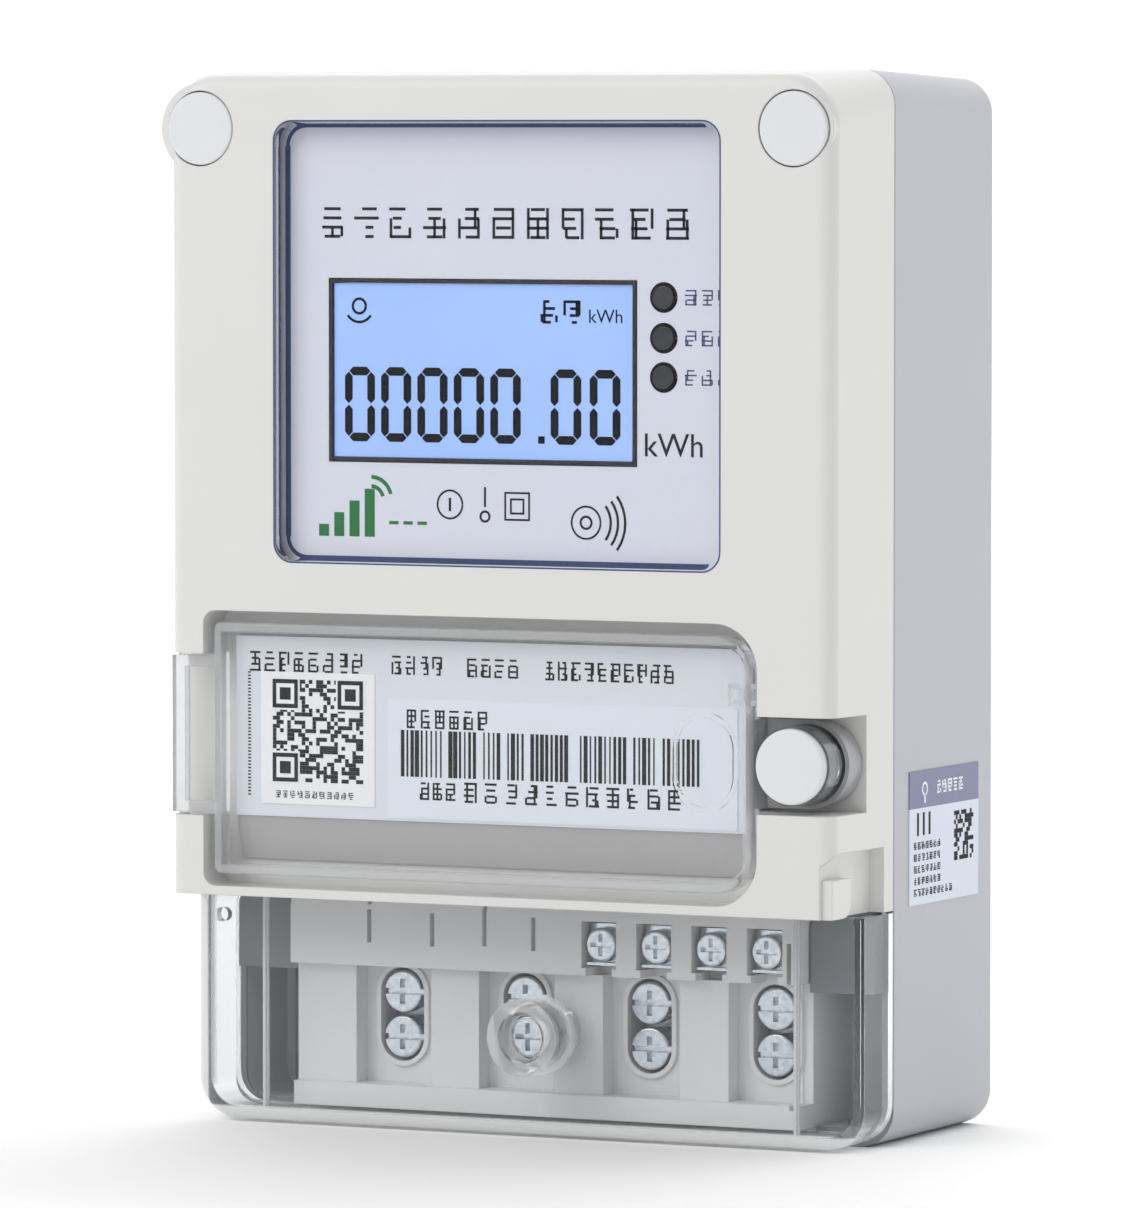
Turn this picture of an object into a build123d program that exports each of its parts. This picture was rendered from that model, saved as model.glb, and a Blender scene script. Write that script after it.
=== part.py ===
from build123d import *
import os

# Single-phase prepaid electricity meter: a rear shell with the electronics, a front cover with the
# display window and a clear door, and a terminal chamber below under a clear terminal cover.
# Frame: +Z up, the front faces -Y, and the origin is the centre of the flat back that meets the wall.
# All lengths are millimetres.

os.makedirs("parts", exist_ok=True)

# ---- driving dimensions -------------------------------------------------------------------------
width = 112.0            # at the parting line
height = 160.0
front_depth = 58.0       # wall to the front face
parting_depth = 37.6     # wall to the joint between rear shell and front cover
wall = 2.4
draft_back = 1.2         # how much each side of the rear shell leans in at the wall
draft_front = 0.5        # the same on the front cover, at its face
corner_radius = 5.5
split_z = -44.6          # lower edge of the front cover, upper edge of the terminal chamber
bottom_z = -height / 2
top_z = height / 2
fit_gap = 0.3            # clearance between pieces that move past each other

ear_z = 71.2             # plug caps, and the cover screws under them
left_ear_x = -50.0
right_ear_x = 49.2
left_ear_radius = 6.9    # this ear stands out of the cover's side
right_ear_radius = 6.3
cap_radius = 5.5

window_size = (74.4, 66.0)
window_z = 39.2          # centre of the display window
panel_depth = 54.0       # wall to the printed face panel
lcd_size = (51.8, 27.6)
lcd_x = -3.75
lcd_z = 35.0
lamp_x = 26.55
lamp_heights = (46.3, 40.3, 34.5)

recess_left = -49.6      # recess for the clear door
recess_right = 43.4
recess_top = -1.5
recess_bottom = -43.2
recess_depth = 51.5      # wall to its floor

hinge_x = -54.0          # vertical hinge line of the clear door
hinge_depth = 56.0
hinge_low = -32.6
hinge_high = -8.1
notch_depth = 51.3

slot_low = -29.4         # slot for the door's sealing tongue
slot_high = -15.0
slot_depth = 46.5
slot_left = 40.4
seal_knob_x = 48.9
seal_knob_z = (slot_low + slot_high) / 2

block_left = -42.0       # terminal block
block_right = 43.5
block_top = -45.0
block_low = -79.2
block_face = 41.5        # wall to its face
terminal_names = ("line_in", "line_out", "neutral_in", "neutral_out")
terminal_pitch = 21.0
terminal_first_x = -25.5
terminal_depth = 25.0    # wall to the middle of the cable bores
cable_radius = 3.9
clamp_screw_heights = (-66.8, -59.9)
clamp_screw_radius = 2.85
signal_pitch = 9.2
signal_first_x = 10.6
signal_z = -51.0
signal_count = 4

chamber_depth = 48.8     # wall to the front of the terminal cover
cover_seal_x = 2.4
cover_seal_z = -64.5
seal_front = 54.0

fixing_x = 48.0          # the two lower wall screws
fixing_z = -67.0
hook_eye_z = 73.0        # the eye of the sliding wall hook, pushed in

board_depth = 30.0       # wall to the front of the main board
board_size = (88.0, 84.0)
board_z = 26.0
display_board_depth = 48.6


def front(distance):
    """The plane parallel to the wall at this distance in front of it, seen from the front."""
    return Plane.XZ.offset(distance)


ear_centres = [(left_ear_x, ear_z), (right_ear_x, ear_z)]


def terminal_x(number):
    return terminal_first_x + number * terminal_pitch


def signal_x(number):
    return signal_first_x + number * signal_pitch


def save(piece, name):
    piece.part.label = name
    export_step(piece.part, f"parts/{name}.step")


# ---- rear shell ---------------------------------------------------------------------------------
# Drafted tray that carries everything. Its lower part is the terminal chamber, open at the bottom
# where the cables enter, with a deep well on each side for the wall screws.
inner_half = width / 2 - 2.8
shell_floor = 2.6
partition_low = split_z
partition_high = split_z + wall
pad_depth = 7.0
hook_width = 16.0
hook_thickness = 2.0
hook_back = 1.2
hook_low = 46.0

with BuildPart() as rear_shell:
    with BuildSketch(front(0)) as back_outline:
        with Locations((0, -draft_back / 2)):
            RectangleRounded(width - 2 * draft_back, height - draft_back, corner_radius)
    with BuildSketch(front(parting_depth)):
        RectangleRounded(width, height, corner_radius)
    loft()
    with BuildSketch(front(shell_floor)):
        RectangleRounded(2 * inner_half, height - 5.6, corner_radius - 2)
    extrude(amount=parting_depth, mode=Mode.SUBTRACT)
    # partition between the electronics and the terminal chamber
    with BuildSketch(Plane.XY.offset(partition_low)):
        with Locations((0, -parting_depth / 2)):
            Rectangle(2 * inner_half + 1, parting_depth - 1)
        with Locations((0, -parting_depth + 1)):
            Rectangle(2 * inner_half + 1, 2)
    extrude(amount=wall)
    # shoulders that close the tops of the two screw wells
    for side, edge in ((-1, block_left - fit_gap), (1, block_right + fit_gap)):
        with BuildSketch(front(shell_floor - 1)):
            with Locations(((side * inner_half + edge) / 2, (split_z - 57) / 2)):
                Rectangle(abs(side * inner_half - edge), split_z + 57)
        extrude(amount=parting_depth + 2.4 - shell_floor + 1)
        with BuildSketch(front(shell_floor - 1)):
            with Locations((side * (inner_half - 0.6), -67)):
                Rectangle(1.6, 20.5)
        extrude(amount=23)
    # the block stands in an opening of the bottom wall
    with BuildSketch(front(shell_floor)):
        with Locations(((block_left + block_right) / 2, bottom_z)):
            Rectangle(block_right - block_left + 2 * fit_gap, 8)
    extrude(amount=parting_depth, mode=Mode.SUBTRACT)
    # slots in the partition for the terminal tails and the signal pins
    with BuildSketch(Plane.XY.offset(partition_low - 1)):
        with Locations([(terminal_x(i), -terminal_depth) for i in range(4)]):
            Rectangle(7, 3)
        with Locations([(signal_x(i), -34.0) for i in range(signal_count)]):
            Rectangle(2, 2)
    extrude(amount=wall + 2, mode=Mode.SUBTRACT)
    # pillars for the cover screws and for the main board
    with BuildSketch(front(shell_floor - 1)):
        with Locations(ear_centres):
            Circle(4.2)
    extrude(amount=parting_depth - shell_floor + 1)
    with BuildSketch(front(parting_depth)):
        with Locations(ear_centres):
            Circle(1.6)
    extrude(amount=-16, mode=Mode.SUBTRACT)
    with BuildSketch(front(shell_floor - 1)):
        with Locations((0, board_z)):
            with GridLocations(board_size[0] - 8, board_size[1] - 8, 2, 2):
                Circle(3)
    extrude(amount=board_depth - 1.6 - shell_floor + 1)
    with BuildSketch(front(board_depth - 1.6)):
        with Locations((0, board_z)):
            with GridLocations(board_size[0] - 8, board_size[1] - 8, 2, 2):
                Circle(1.3)
    extrude(amount=-9, mode=Mode.SUBTRACT)
    # holes for the two lower wall screws
    with BuildSketch(front(-1)):
        with Locations((-fixing_x, fixing_z), (fixing_x, fixing_z)):
            Circle(2.6)
    extrude(amount=10, mode=Mode.SUBTRACT)
    # channel of the sliding wall hook, narrower at the wall so that the hook can't fall out
    with BuildSketch(front(shell_floor - 1)):
        with Locations((0, (hook_low - 2 + top_z - 2) / 2)):
            Rectangle(hook_width + 6, top_z - hook_low)
    extrude(amount=pad_depth - shell_floor - 0.4)
    with BuildSketch(front(hook_back)):
        with Locations((0, (hook_low + top_z + 4) / 2)):
            Rectangle(hook_width + 0.6, top_z + 4 - hook_low)
    extrude(amount=hook_thickness + 0.3, mode=Mode.SUBTRACT)
    with BuildSketch(front(-1)):
        with Locations((0, (hook_low + 6 + top_z + 4) / 2)):
            Rectangle(hook_width - 4, top_z - 2 - hook_low)
    extrude(amount=hook_back + 1.5, mode=Mode.SUBTRACT)
    # groove for the gasket
    with BuildSketch(front(parting_depth)):
        with Locations((0, (top_z + split_z) / 2)):
            RectangleRounded(width - 2.4, top_z - split_z - 2.4, corner_radius - 1.2)
            RectangleRounded(width - 4.4, top_z - split_z - 4.4, corner_radius - 2.2, mode=Mode.SUBTRACT)
    extrude(amount=-1.0, mode=Mode.SUBTRACT)
save(rear_shell, "rear_shell")

# ---- cover gasket -------------------------------------------------------------------------------
# Rubber ring pressed between the rear shell and the front cover.
with BuildPart() as cover_gasket:
    with BuildSketch(front(parting_depth)):
        with Locations((0, (top_z + split_z) / 2)):
            RectangleRounded(width - 2.6, top_z - split_z - 2.6, corner_radius - 1.3)
            RectangleRounded(width - 4.2, top_z - split_z - 4.2, corner_radius - 2.1, mode=Mode.SUBTRACT)
    extrude(amount=-1.0)
save(cover_gasket, "cover_gasket")

# ---- sliding wall hook --------------------------------------------------------------------------
# Steel plate in the channel behind the shell. Pulled up, its eye stands above the meter.
with BuildPart() as wall_hook:
    with BuildSketch(front(hook_back + 0.15)):
        with Locations((0, (hook_low + 0.5 + top_z - 1.5) / 2)):
            Rectangle(hook_width, top_z - hook_low - 2)
        with Locations((0, hook_eye_z)):
            Circle(2.6, mode=Mode.SUBTRACT)
        with Locations((0, hook_low + 12)):
            SlotOverall(12, 4, rotation=90, mode=Mode.SUBTRACT)
    extrude(amount=hook_thickness)
    fillet(wall_hook.edges().filter_by(Axis.Y).group_by(Axis.Z)[-1], 4)
save(wall_hook, "wall_hook")

# ---- front cover --------------------------------------------------------------------------------
# One moulding: window frame above, tray for the clear door below, and an ear at each upper corner.
tray_thickness = 1.6
module_hole = (79.8, 29.8)
module_x = -3.5
module_z = -22.3

with BuildPart() as front_cover:
    for depth, inset, radius in ((parting_depth, 0, corner_radius), (front_depth, draft_front, 8)):
        with BuildSketch(front(depth)) as cover_outline:
            with Locations((0, (split_z + top_z - inset) / 2)):
                Rectangle(width - 2 * inset, top_z - inset - split_z)
            fillet(cover_outline.vertices().group_by(Axis.Y)[-1], radius)
    loft()
    face_edges = front_cover.faces().sort_by(Axis.Y)[0].edges()
    fillet(face_edges.sort_by(Axis.Z)[1:], 2.5)
    # ears
    with BuildSketch(front(parting_depth)):
        with Locations((left_ear_x, ear_z)):
            Circle(left_ear_radius)
        with Locations((right_ear_x, ear_z)):
            Circle(right_ear_radius)
    extrude(amount=front_depth - parting_depth - 0.6)
    # hollow inside
    with BuildSketch(front(parting_depth)):
        with Locations((0, (split_z + top_z) / 2)):
            RectangleRounded(width - 2 * wall - 0.8, top_z - split_z - 2 * wall, corner_radius - wall)
    extrude(amount=front_depth - parting_depth - wall, mode=Mode.SUBTRACT)
    # screw sleeves in the ears
    with BuildSketch(front(parting_depth)):
        with Locations(ear_centres):
            Circle(right_ear_radius)
    extrude(amount=front_depth - parting_depth - 1.5)
    with BuildSketch(front(41)):
        with Locations(ear_centres):
            Circle(3.7)
    extrude(amount=20, mode=Mode.SUBTRACT)
    with BuildSketch(front(56.3)):
        with Locations(ear_centres):
            Circle(cap_radius + 0.2)
    extrude(amount=3, mode=Mode.SUBTRACT)
    with BuildSketch(front(parting_depth - 1)):
        with Locations(ear_centres):
            Circle(1.8)
    extrude(amount=6, mode=Mode.SUBTRACT)
    # window opening
    with BuildSketch(front(front_depth - 5)):
        with Locations((0, window_z)):
            RectangleRounded(window_size[0] + 0.2, window_size[1] + 0.2, 3.1)
    extrude(amount=10, mode=Mode.SUBTRACT)
    # blocks behind the door recess, the hinge notch, the sealing slot and the lower corner pocket
    with BuildSketch(front(recess_depth - tray_thickness)):
        with Locations(((recess_left + recess_right) / 2, (split_z + recess_top + 1.8) / 2)):
            Rectangle(recess_right - recess_left + 3.6, recess_top + 1.8 - split_z)
    extrude(amount=front_depth - recess_depth)
    with BuildSketch(front(notch_depth - tray_thickness)):
        with Locations((-52.5, (hinge_low + hinge_high) / 2)):
            Rectangle(5.2, hinge_high - hinge_low + 7)
    extrude(amount=front_depth - notch_depth)
    with BuildSketch(front(slot_depth - tray_thickness)):
        with Locations(((slot_left - 1.6 + 54.5) / 2, seal_knob_z)):
            Rectangle(54.5 - slot_left + 1.6, slot_high - slot_low + 3.6)
    extrude(amount=front_depth - slot_depth)
    with BuildSketch(front(parting_depth + 1)):
        with Locations((52.5, split_z + 6)):
            Rectangle(4.4, 12)
    extrude(amount=front_depth - parting_depth - 4)
    # door recess with its opening for the communication module
    with BuildSketch(front(recess_depth)) as recess_outline:
        with Locations(((recess_left + recess_right) / 2, (recess_top + recess_bottom) / 2)):
            recess = Rectangle(recess_right - recess_left, recess_top - recess_bottom)
        fillet(recess_outline.vertices().group_by(Axis.X)[-1], 7)
        fillet(recess_outline.vertices().group_by(Axis.X)[0], 2)
    extrude(amount=10, mode=Mode.SUBTRACT)
    with BuildSketch(front(40)):
        with Locations((module_x, module_z)):
            Rectangle(module_hole[0], module_hole[1])
    extrude(amount=15, mode=Mode.SUBTRACT)
    # hinge notch in the left edge, with a bearing hole above and below it
    with BuildSketch(front(notch_depth)):
        with Locations((recess_left - 4, (hinge_low + hinge_high) / 2)):
            Rectangle(8.4, hinge_high - hinge_low)
    extrude(amount=10, mode=Mode.SUBTRACT)
    with BuildSketch(Plane.XY.offset(hinge_low - 1.9)):
        with Locations((hinge_x, -hinge_depth)):
            Circle(0.86)
    extrude(amount=hinge_high - hinge_low + 3.8, mode=Mode.SUBTRACT)
    # slot for the sealing tongue, open to the right side, and the hole for its screw
    with BuildSketch(front(slot_depth)):
        with Locations(((slot_left + 60) / 2, seal_knob_z)):
            Rectangle(60 - slot_left, slot_high - slot_low)
    extrude(amount=20, mode=Mode.SUBTRACT)
    with BuildSketch(front(40)):
        with Locations((seal_knob_x, seal_knob_z)):
            Circle(2.4)
    extrude(amount=8, mode=Mode.SUBTRACT)
    # pocket in the lower right corner, with the lug that locates the terminal cover
    with BuildSketch(Plane.YZ.offset(53.6)) as pocket_outline:
        with Locations((-(40.7 + 58.3) / 2, split_z + 4.8)):
            Rectangle(58.3 - 40.7, 9.8)
        fillet(pocket_outline.vertices().group_by(Axis.Y)[-1].sort_by(Axis.X)[0], 3.5)
    extrude(amount=5, mode=Mode.SUBTRACT)
    with BuildSketch(Plane.YZ.offset(53)) as lug_outline:
        with Locations((-54.0, split_z + 2.9)):
            Rectangle(6.4, 5.8)
        fillet(lug_outline.vertices().group_by(Axis.Y)[0].sort_by(Axis.X)[-1], 2.4)
    extrude(amount=2.3)
save(front_cover, "front_cover")

# ---- plug caps and cover screws -----------------------------------------------------------------
# The caps close the sleeves over the two screws that hold the front cover, and pull out forwards.
for cap_x, name in ((left_ear_x, "plug_cap_left"), (right_ear_x, "plug_cap_right")):
    with BuildPart() as plug_cap:
        with BuildSketch(front(56.9)):
            with Locations((cap_x, ear_z)):
                Circle(cap_radius)
        extrude(amount=1.2)
        fillet(plug_cap.faces().sort_by(Axis.Y)[0].edges(), 0.35)
        with BuildSketch(front(51)):
            with Locations((cap_x, ear_z)):
                Circle(3.4)
                Circle(2.4, mode=Mode.SUBTRACT)
        extrude(amount=6)
    save(plug_cap, name)

with BuildPart() as cover_screws:
    with BuildSketch(front(26)):
        with Locations(ear_centres):
            Circle(1.5)
    extrude(amount=15.1)
    with BuildSketch(front(41.05)):
        with Locations(ear_centres):
            Circle(3.1)
    extrude(amount=2.4)
    with BuildSketch(front(42.2)):
        with Locations(ear_centres):
            Rectangle(3.6, 0.8)
            Rectangle(0.8, 3.6)
    extrude(amount=3, mode=Mode.SUBTRACT)
save(cover_screws, "cover_screws")

# ---- display window -----------------------------------------------------------------------------
# Clear lens bonded from behind, its flange against the inside of the cover.
with BuildPart() as window_lens:
    with BuildSketch(front(front_depth - 2.6)):
        with Locations((0, window_z)):
            RectangleRounded(window_size[0], window_size[1], 3)
    extrude(amount=2.9)
    fillet(window_lens.faces().sort_by(Axis.Y)[0].edges(), 0.6)
    with BuildSketch(front(front_depth - wall - 0.05)):
        with Locations((0, window_z)):
            RectangleRounded(window_size[0] + 3.6, window_size[1] + 3.6, 3)
    extrude(amount=-1.2)
save(window_lens, "window_lens")

# Printed panel behind the lens, with openings for the display and the three indicator lamps.
with BuildPart() as face_panel:
    with BuildSketch(front(panel_depth)):
        with Locations((0, window_z)):
            RectangleRounded(window_size[0] + 3, window_size[1] + 3, 3)
        with Locations((lcd_x, lcd_z)):
            Rectangle(lcd_size[0], lcd_size[1], mode=Mode.SUBTRACT)
        with Locations([(lamp_x, z) for z in lamp_heights]):
            Circle(1.9, mode=Mode.SUBTRACT)
    extrude(amount=-1.0)
save(face_panel, "face_panel")

# ---- liquid crystal display ---------------------------------------------------------------------
with BuildPart() as lcd_bezel:
    with BuildSketch(front(panel_depth + 0.15)):
        with Locations((lcd_x, lcd_z)):
            Rectangle(lcd_size[0] - 0.2, lcd_size[1] - 0.2)
            Rectangle(lcd_size[0] - 1.4, lcd_size[1] - 1.4, mode=Mode.SUBTRACT)
    extrude(amount=-5.5)
save(lcd_bezel, "lcd_bezel")

with BuildPart() as lcd_glass:
    with BuildSketch(front(panel_depth - 0.3)):
        with Locations((lcd_x, lcd_z)):
            Rectangle(lcd_size[0] - 1.6, lcd_size[1] - 1.6)
    extrude(amount=-2.2)
save(lcd_glass, "lcd_glass")

with BuildPart() as lcd_backlight:
    with BuildSketch(front(panel_depth - 2.6)):
        with Locations((lcd_x, lcd_z)):
            Rectangle(lcd_size[0] - 1.6, lcd_size[1] - 1.6)
    extrude(amount=-2.7)
save(lcd_backlight, "lcd_backlight")

with BuildPart() as indicator_lenses:
    with BuildSketch(front(display_board_depth + 1.3)):
        with Locations([(lamp_x, z) for z in lamp_heights]):
            Circle(1.75)
    extrude(amount=panel_depth + 0.3 - display_board_depth - 1.3)
save(indicator_lenses, "indicator_lenses")

with BuildPart() as indicator_leds:
    with BuildSketch(front(display_board_depth)):
        with Locations([(lamp_x, z) for z in lamp_heights]):
            Rectangle(2.0, 1.25)
    extrude(amount=1.1)
save(indicator_leds, "indicator_leds")

with BuildPart() as display_board:
    with BuildSketch(front(display_board_depth)):
        with Locations((0, window_z - 2)):
            Rectangle(78, 66)
    extrude(amount=-1.6)
save(display_board, "display_board")

# ---- clear door ---------------------------------------------------------------------------------
# Clear lid over the module. A loop at its left edge carries the hinge stubs, a tongue at its right
# edge takes the sealing screw, and a raised ring marks where the finger lifts it.
door_left = recess_left + 1.4
door_right = recess_right - 1.2
door_top = recess_top - 1.8
door_bottom = recess_bottom + 1.8
door_face = 57.4
door_plate = 1.8
skirt_depth = 54.6
arm_height = 1.7
tongue_depth = 50.2

with BuildPart() as clear_door:
    with BuildSketch(front(door_face)) as door_outline:
        with Locations(((door_left + door_right) / 2, (door_top + door_bottom) / 2)):
            Rectangle(door_right - door_left, door_top - door_bottom)
        fillet(door_outline.vertices().group_by(Axis.X)[-1], 6)
        fillet(door_outline.vertices().group_by(Axis.X)[0], 1.2)
    extrude(amount=-(door_face - skirt_depth))
    with BuildSketch(front(door_face - door_plate)) as door_inside:
        with Locations(((door_left + door_right) / 2, (door_top + door_bottom) / 2)):
            Rectangle(door_right - door_left - 3, door_top - door_bottom - 3)
        fillet(door_inside.vertices().group_by(Axis.X)[-1], 4.5)
    extrude(amount=-5, mode=Mode.SUBTRACT)
    fillet(clear_door.faces().sort_by(Axis.Y)[0].edges(), 0.5)
    # finger ring
    with BuildSketch(front(door_face)):
        with Locations((34.8, -22.0)):
            SlotOverall(14.7, 10.6, rotation=90)
            SlotOverall(13.3, 9.2, rotation=90, mode=Mode.SUBTRACT)
    extrude(amount=0.5)
    # latch nib
    with BuildSketch(front(door_face - door_plate)):
        with Locations((39.4, -12.0)):
            Rectangle(3.2, 3.2)
            Rectangle(1.8, 1.6, mode=Mode.SUBTRACT)
    extrude(amount=-1.4)
    # hinge loop: two arms, the bar between them and the two stubs
    with BuildSketch(front(hinge_depth - 0.8)):
        for arm_z in (hinge_high - 0.35 - arm_height / 2, hinge_low + 0.35 + arm_height / 2):
            with Locations(((door_left + 0.6 - 55.6) / 2, arm_z)):
                Rectangle(door_left + 0.6 + 55.6, arm_height)
        with Locations((-54.5, (hinge_low + hinge_high) / 2)):
            Rectangle(2.2, hinge_high - hinge_low - 0.7)
    extrude(amount=1.7)
    with BuildSketch(Plane.XY.offset(hinge_low - 1.6)):
        with Locations((hinge_x, -hinge_depth)):
            Circle(0.8)
    extrude(amount=hinge_high - hinge_low + 3.2)
    # sealing tongue, stepped down into the slot, with the collar behind it
    with BuildSketch(front(slot_depth + 0.4)):
        with Locations((seal_knob_x, seal_knob_z)):
            Circle(6.4)
            Circle(5.0, mode=Mode.SUBTRACT)
    extrude(amount=tongue_depth - slot_depth)
    with BuildSketch(front(tongue_depth)):
        with Locations((seal_knob_x, seal_knob_z)):
            Circle(6.6)
        with Locations(((door_right - 1.5 + seal_knob_x) / 2, seal_knob_z)):
            Rectangle(seal_knob_x - door_right + 1.5, 13.2)
        with Locations((seal_knob_x, seal_knob_z)):
            Circle(1.9, mode=Mode.SUBTRACT)
    extrude(amount=1.6)
    with BuildSketch(front(tongue_depth)):
        with Locations((door_right - 0.75, seal_knob_z)):
            Rectangle(1.5, 13.2)
    extrude(amount=door_face - tongue_depth - 1)
save(clear_door, "clear_door")

# ---- door seal ----------------------------------------------------------------------------------
# Captive sealing knob on the tongue: clear barrel, white cap and the steel screw inside.
barrel_back = tongue_depth + 1.7
cap_back = 57.3

with BuildPart() as seal_barrel:
    with BuildSketch(front(barrel_back)):
        with Locations((seal_knob_x, seal_knob_z)):
            Circle(6.0)
            Circle(4.8, mode=Mode.SUBTRACT)
    extrude(amount=cap_back - barrel_back)
    with BuildSketch(front(barrel_back)):
        with Locations((seal_knob_x, seal_knob_z)):
            Circle(5.0)
            Circle(1.6, mode=Mode.SUBTRACT)
    extrude(amount=1.4)
save(seal_barrel, "seal_barrel")

with BuildPart() as seal_cap:
    with BuildSketch(front(cap_back)):
        with Locations((seal_knob_x, seal_knob_z)):
            Circle(5.6)
    extrude(amount=1.2)
    fillet(seal_cap.faces().sort_by(Axis.Y)[0].edges(), 0.5)
    with BuildSketch(front(cap_back)):
        with Locations((seal_knob_x, seal_knob_z)):
            Circle(4.4)
            Circle(3.4, mode=Mode.SUBTRACT)
    extrude(amount=-1.6)
save(seal_cap, "seal_cap")

with BuildPart() as seal_screw:
    with BuildSketch(front(slot_depth - 2.5)):
        with Locations((seal_knob_x, seal_knob_z)):
            Circle(1.5)
    extrude(amount=barrel_back + 1.45 - slot_depth + 2.5)
    with BuildSketch(front(barrel_back + 1.45)):
        with Locations((seal_knob_x, seal_knob_z)):
            Circle(3.0)
    extrude(amount=1.8)
    with BuildSketch(front(barrel_back + 2.2)):
        with Locations((seal_knob_x, seal_knob_z)):
            Rectangle(4.4, 0.8)
    extrude(amount=2, mode=Mode.SUBTRACT)
save(seal_screw, "seal_screw")

# ---- communication module -----------------------------------------------------------------------
# Plug-in module under the door. Its flange rests on the floor of the recess, its lower front slopes
# back, and its hollow body reaches through the opening to the main board.
flange_left = -45.9
flange_right = 40.0
flange_top = -5.4
flange_bottom = -39.3
slope_top = -32.6
module_face = 53.6
module_back = 36.0

with BuildPart() as module_case:
    with BuildSketch(Plane.YZ.offset(flange_left)):
        with BuildLine():
            Polyline(
                (-recess_depth, flange_bottom),
                (-recess_depth - 0.5, flange_bottom),
                (-module_face, slope_top),
                (-module_face, flange_top),
                (-recess_depth, flange_top),
                close=True,
            )
        make_face()
    extrude(amount=flange_right - flange_left)
    with BuildSketch(front(module_back)):
        with Locations((module_x, module_z)):
            Rectangle(module_hole[0] - 0.6, module_hole[1] - 0.6)
    extrude(amount=recess_depth - module_back)
    with BuildSketch(front(module_back - 1)):
        with Locations((module_x, module_z)):
            Rectangle(module_hole[0] - 3.6, module_hole[1] - 3.6)
    extrude(amount=recess_depth - module_back, mode=Mode.SUBTRACT)
save(module_case, "module_case")

with BuildPart() as module_board:
    with BuildSketch(front(40.0)):
        with Locations((module_x, module_z)):
            Rectangle(module_hole[0] - 4.2, module_hole[1] - 4.2)
    extrude(amount=1.6)
save(module_board, "module_board")

with BuildPart() as modem_can:
    with BuildSketch(front(41.6)):
        with Locations((-24, module_z)):
            RectangleRounded(24, 20, 0.8)
    extrude(amount=2.4)
save(modem_can, "modem_can")

with BuildPart() as sim_holder:
    with BuildSketch(Plane.YZ.offset(2)):
        with Locations((-42.6, module_z)):
            Rectangle(2.0, 14)
            Rectangle(1.0, 12.6, mode=Mode.SUBTRACT)
    extrude(amount=14)
save(sim_holder, "sim_holder")

with BuildPart() as sim_card:
    with BuildSketch(front(42.2)):
        with Locations((8.5, module_z)):
            Rectangle(15, 12.3)
    extrude(amount=0.8)
save(sim_card, "sim_card")

with BuildPart() as module_antenna:
    with BuildSketch(front(41.6)):
        with Locations((27, module_z)):
            Rectangle(9, 22)
    extrude(amount=3.0)
save(module_antenna, "module_antenna")

with BuildPart() as module_connector:
    with BuildSketch(front(board_depth)):
        with Locations((module_x, module_z + 10)):
            Rectangle(30, 5)
    extrude(amount=40.0 - board_depth)
save(module_connector, "module_connector")

# ---- labels -------------------------------------------------------------------------------------
with BuildPart() as rating_card:
    with BuildSketch(front(module_face)):
        with Locations(((flange_left + flange_right) / 2, (slope_top + flange_top) / 2)):
            Rectangle(flange_right - flange_left, flange_top - slope_top)
    extrude(amount=0.3)
save(rating_card, "rating_card")

with BuildPart() as code_label:
    with BuildSketch(front(module_face + 0.3)):
        with Locations((-31.8, -20.7)):
            Rectangle(19.5, 20)
    extrude(amount=0.12)
save(code_label, "code_label")

with BuildPart() as barcode_label:
    with BuildSketch(front(module_face + 0.3)):
        with Locations((9.4, -23.2)):
            Rectangle(58.4, 18)
    extrude(amount=0.12)
save(barcode_label, "barcode_label")

with BuildPart() as side_label:
    with BuildSketch(Plane.XY.offset(-44.4)):
        with BuildLine():
            side_points = []
            for depth, lift in ((5.3, 0), (31.8, 0), (31.8, 0.15), (5.3, 0.15)):
                lean = draft_back * (1 - depth / parting_depth)
                side_points.append((width / 2 - lean + lift, -depth))
            Polyline(*side_points, close=True)
        make_face()
    extrude(amount=20)
save(side_label, "side_label")

# ---- terminal block -----------------------------------------------------------------------------
# Grey moulding with four cable terminals below and four signal terminals in the band above them.
band_face = 44.0
band_low = -55.7
ledge_face = 43.0
ledge_high = -73.8
ledge_low = -77.4        # clear of the bottom wall of the terminal cover
pocket_floor = 38.2
pocket_width = 12.8
metal_front = 33.4       # wall to the front of the brass terminals
metal_back = 20.0
metal_width = 9.6
metal_low = -74.0
metal_high = -55.2
tail_top = -38.0
cable_bore_length = 17.4
clamp_middle = sum(clamp_screw_heights) / 2
clamp_slot = (clamp_screw_heights[1] - clamp_screw_heights[0] + 7.4, 7.4)
clamp_head_back = 36.4
clamp_head_front = 38.7
post_back = 31.0
post_front = 39.8        # wall to the front of the signal posts
plate_back = 40.3        # the loose plates of the signal clamps
plate_front = 41.4
signal_head_front = 43.4

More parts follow.
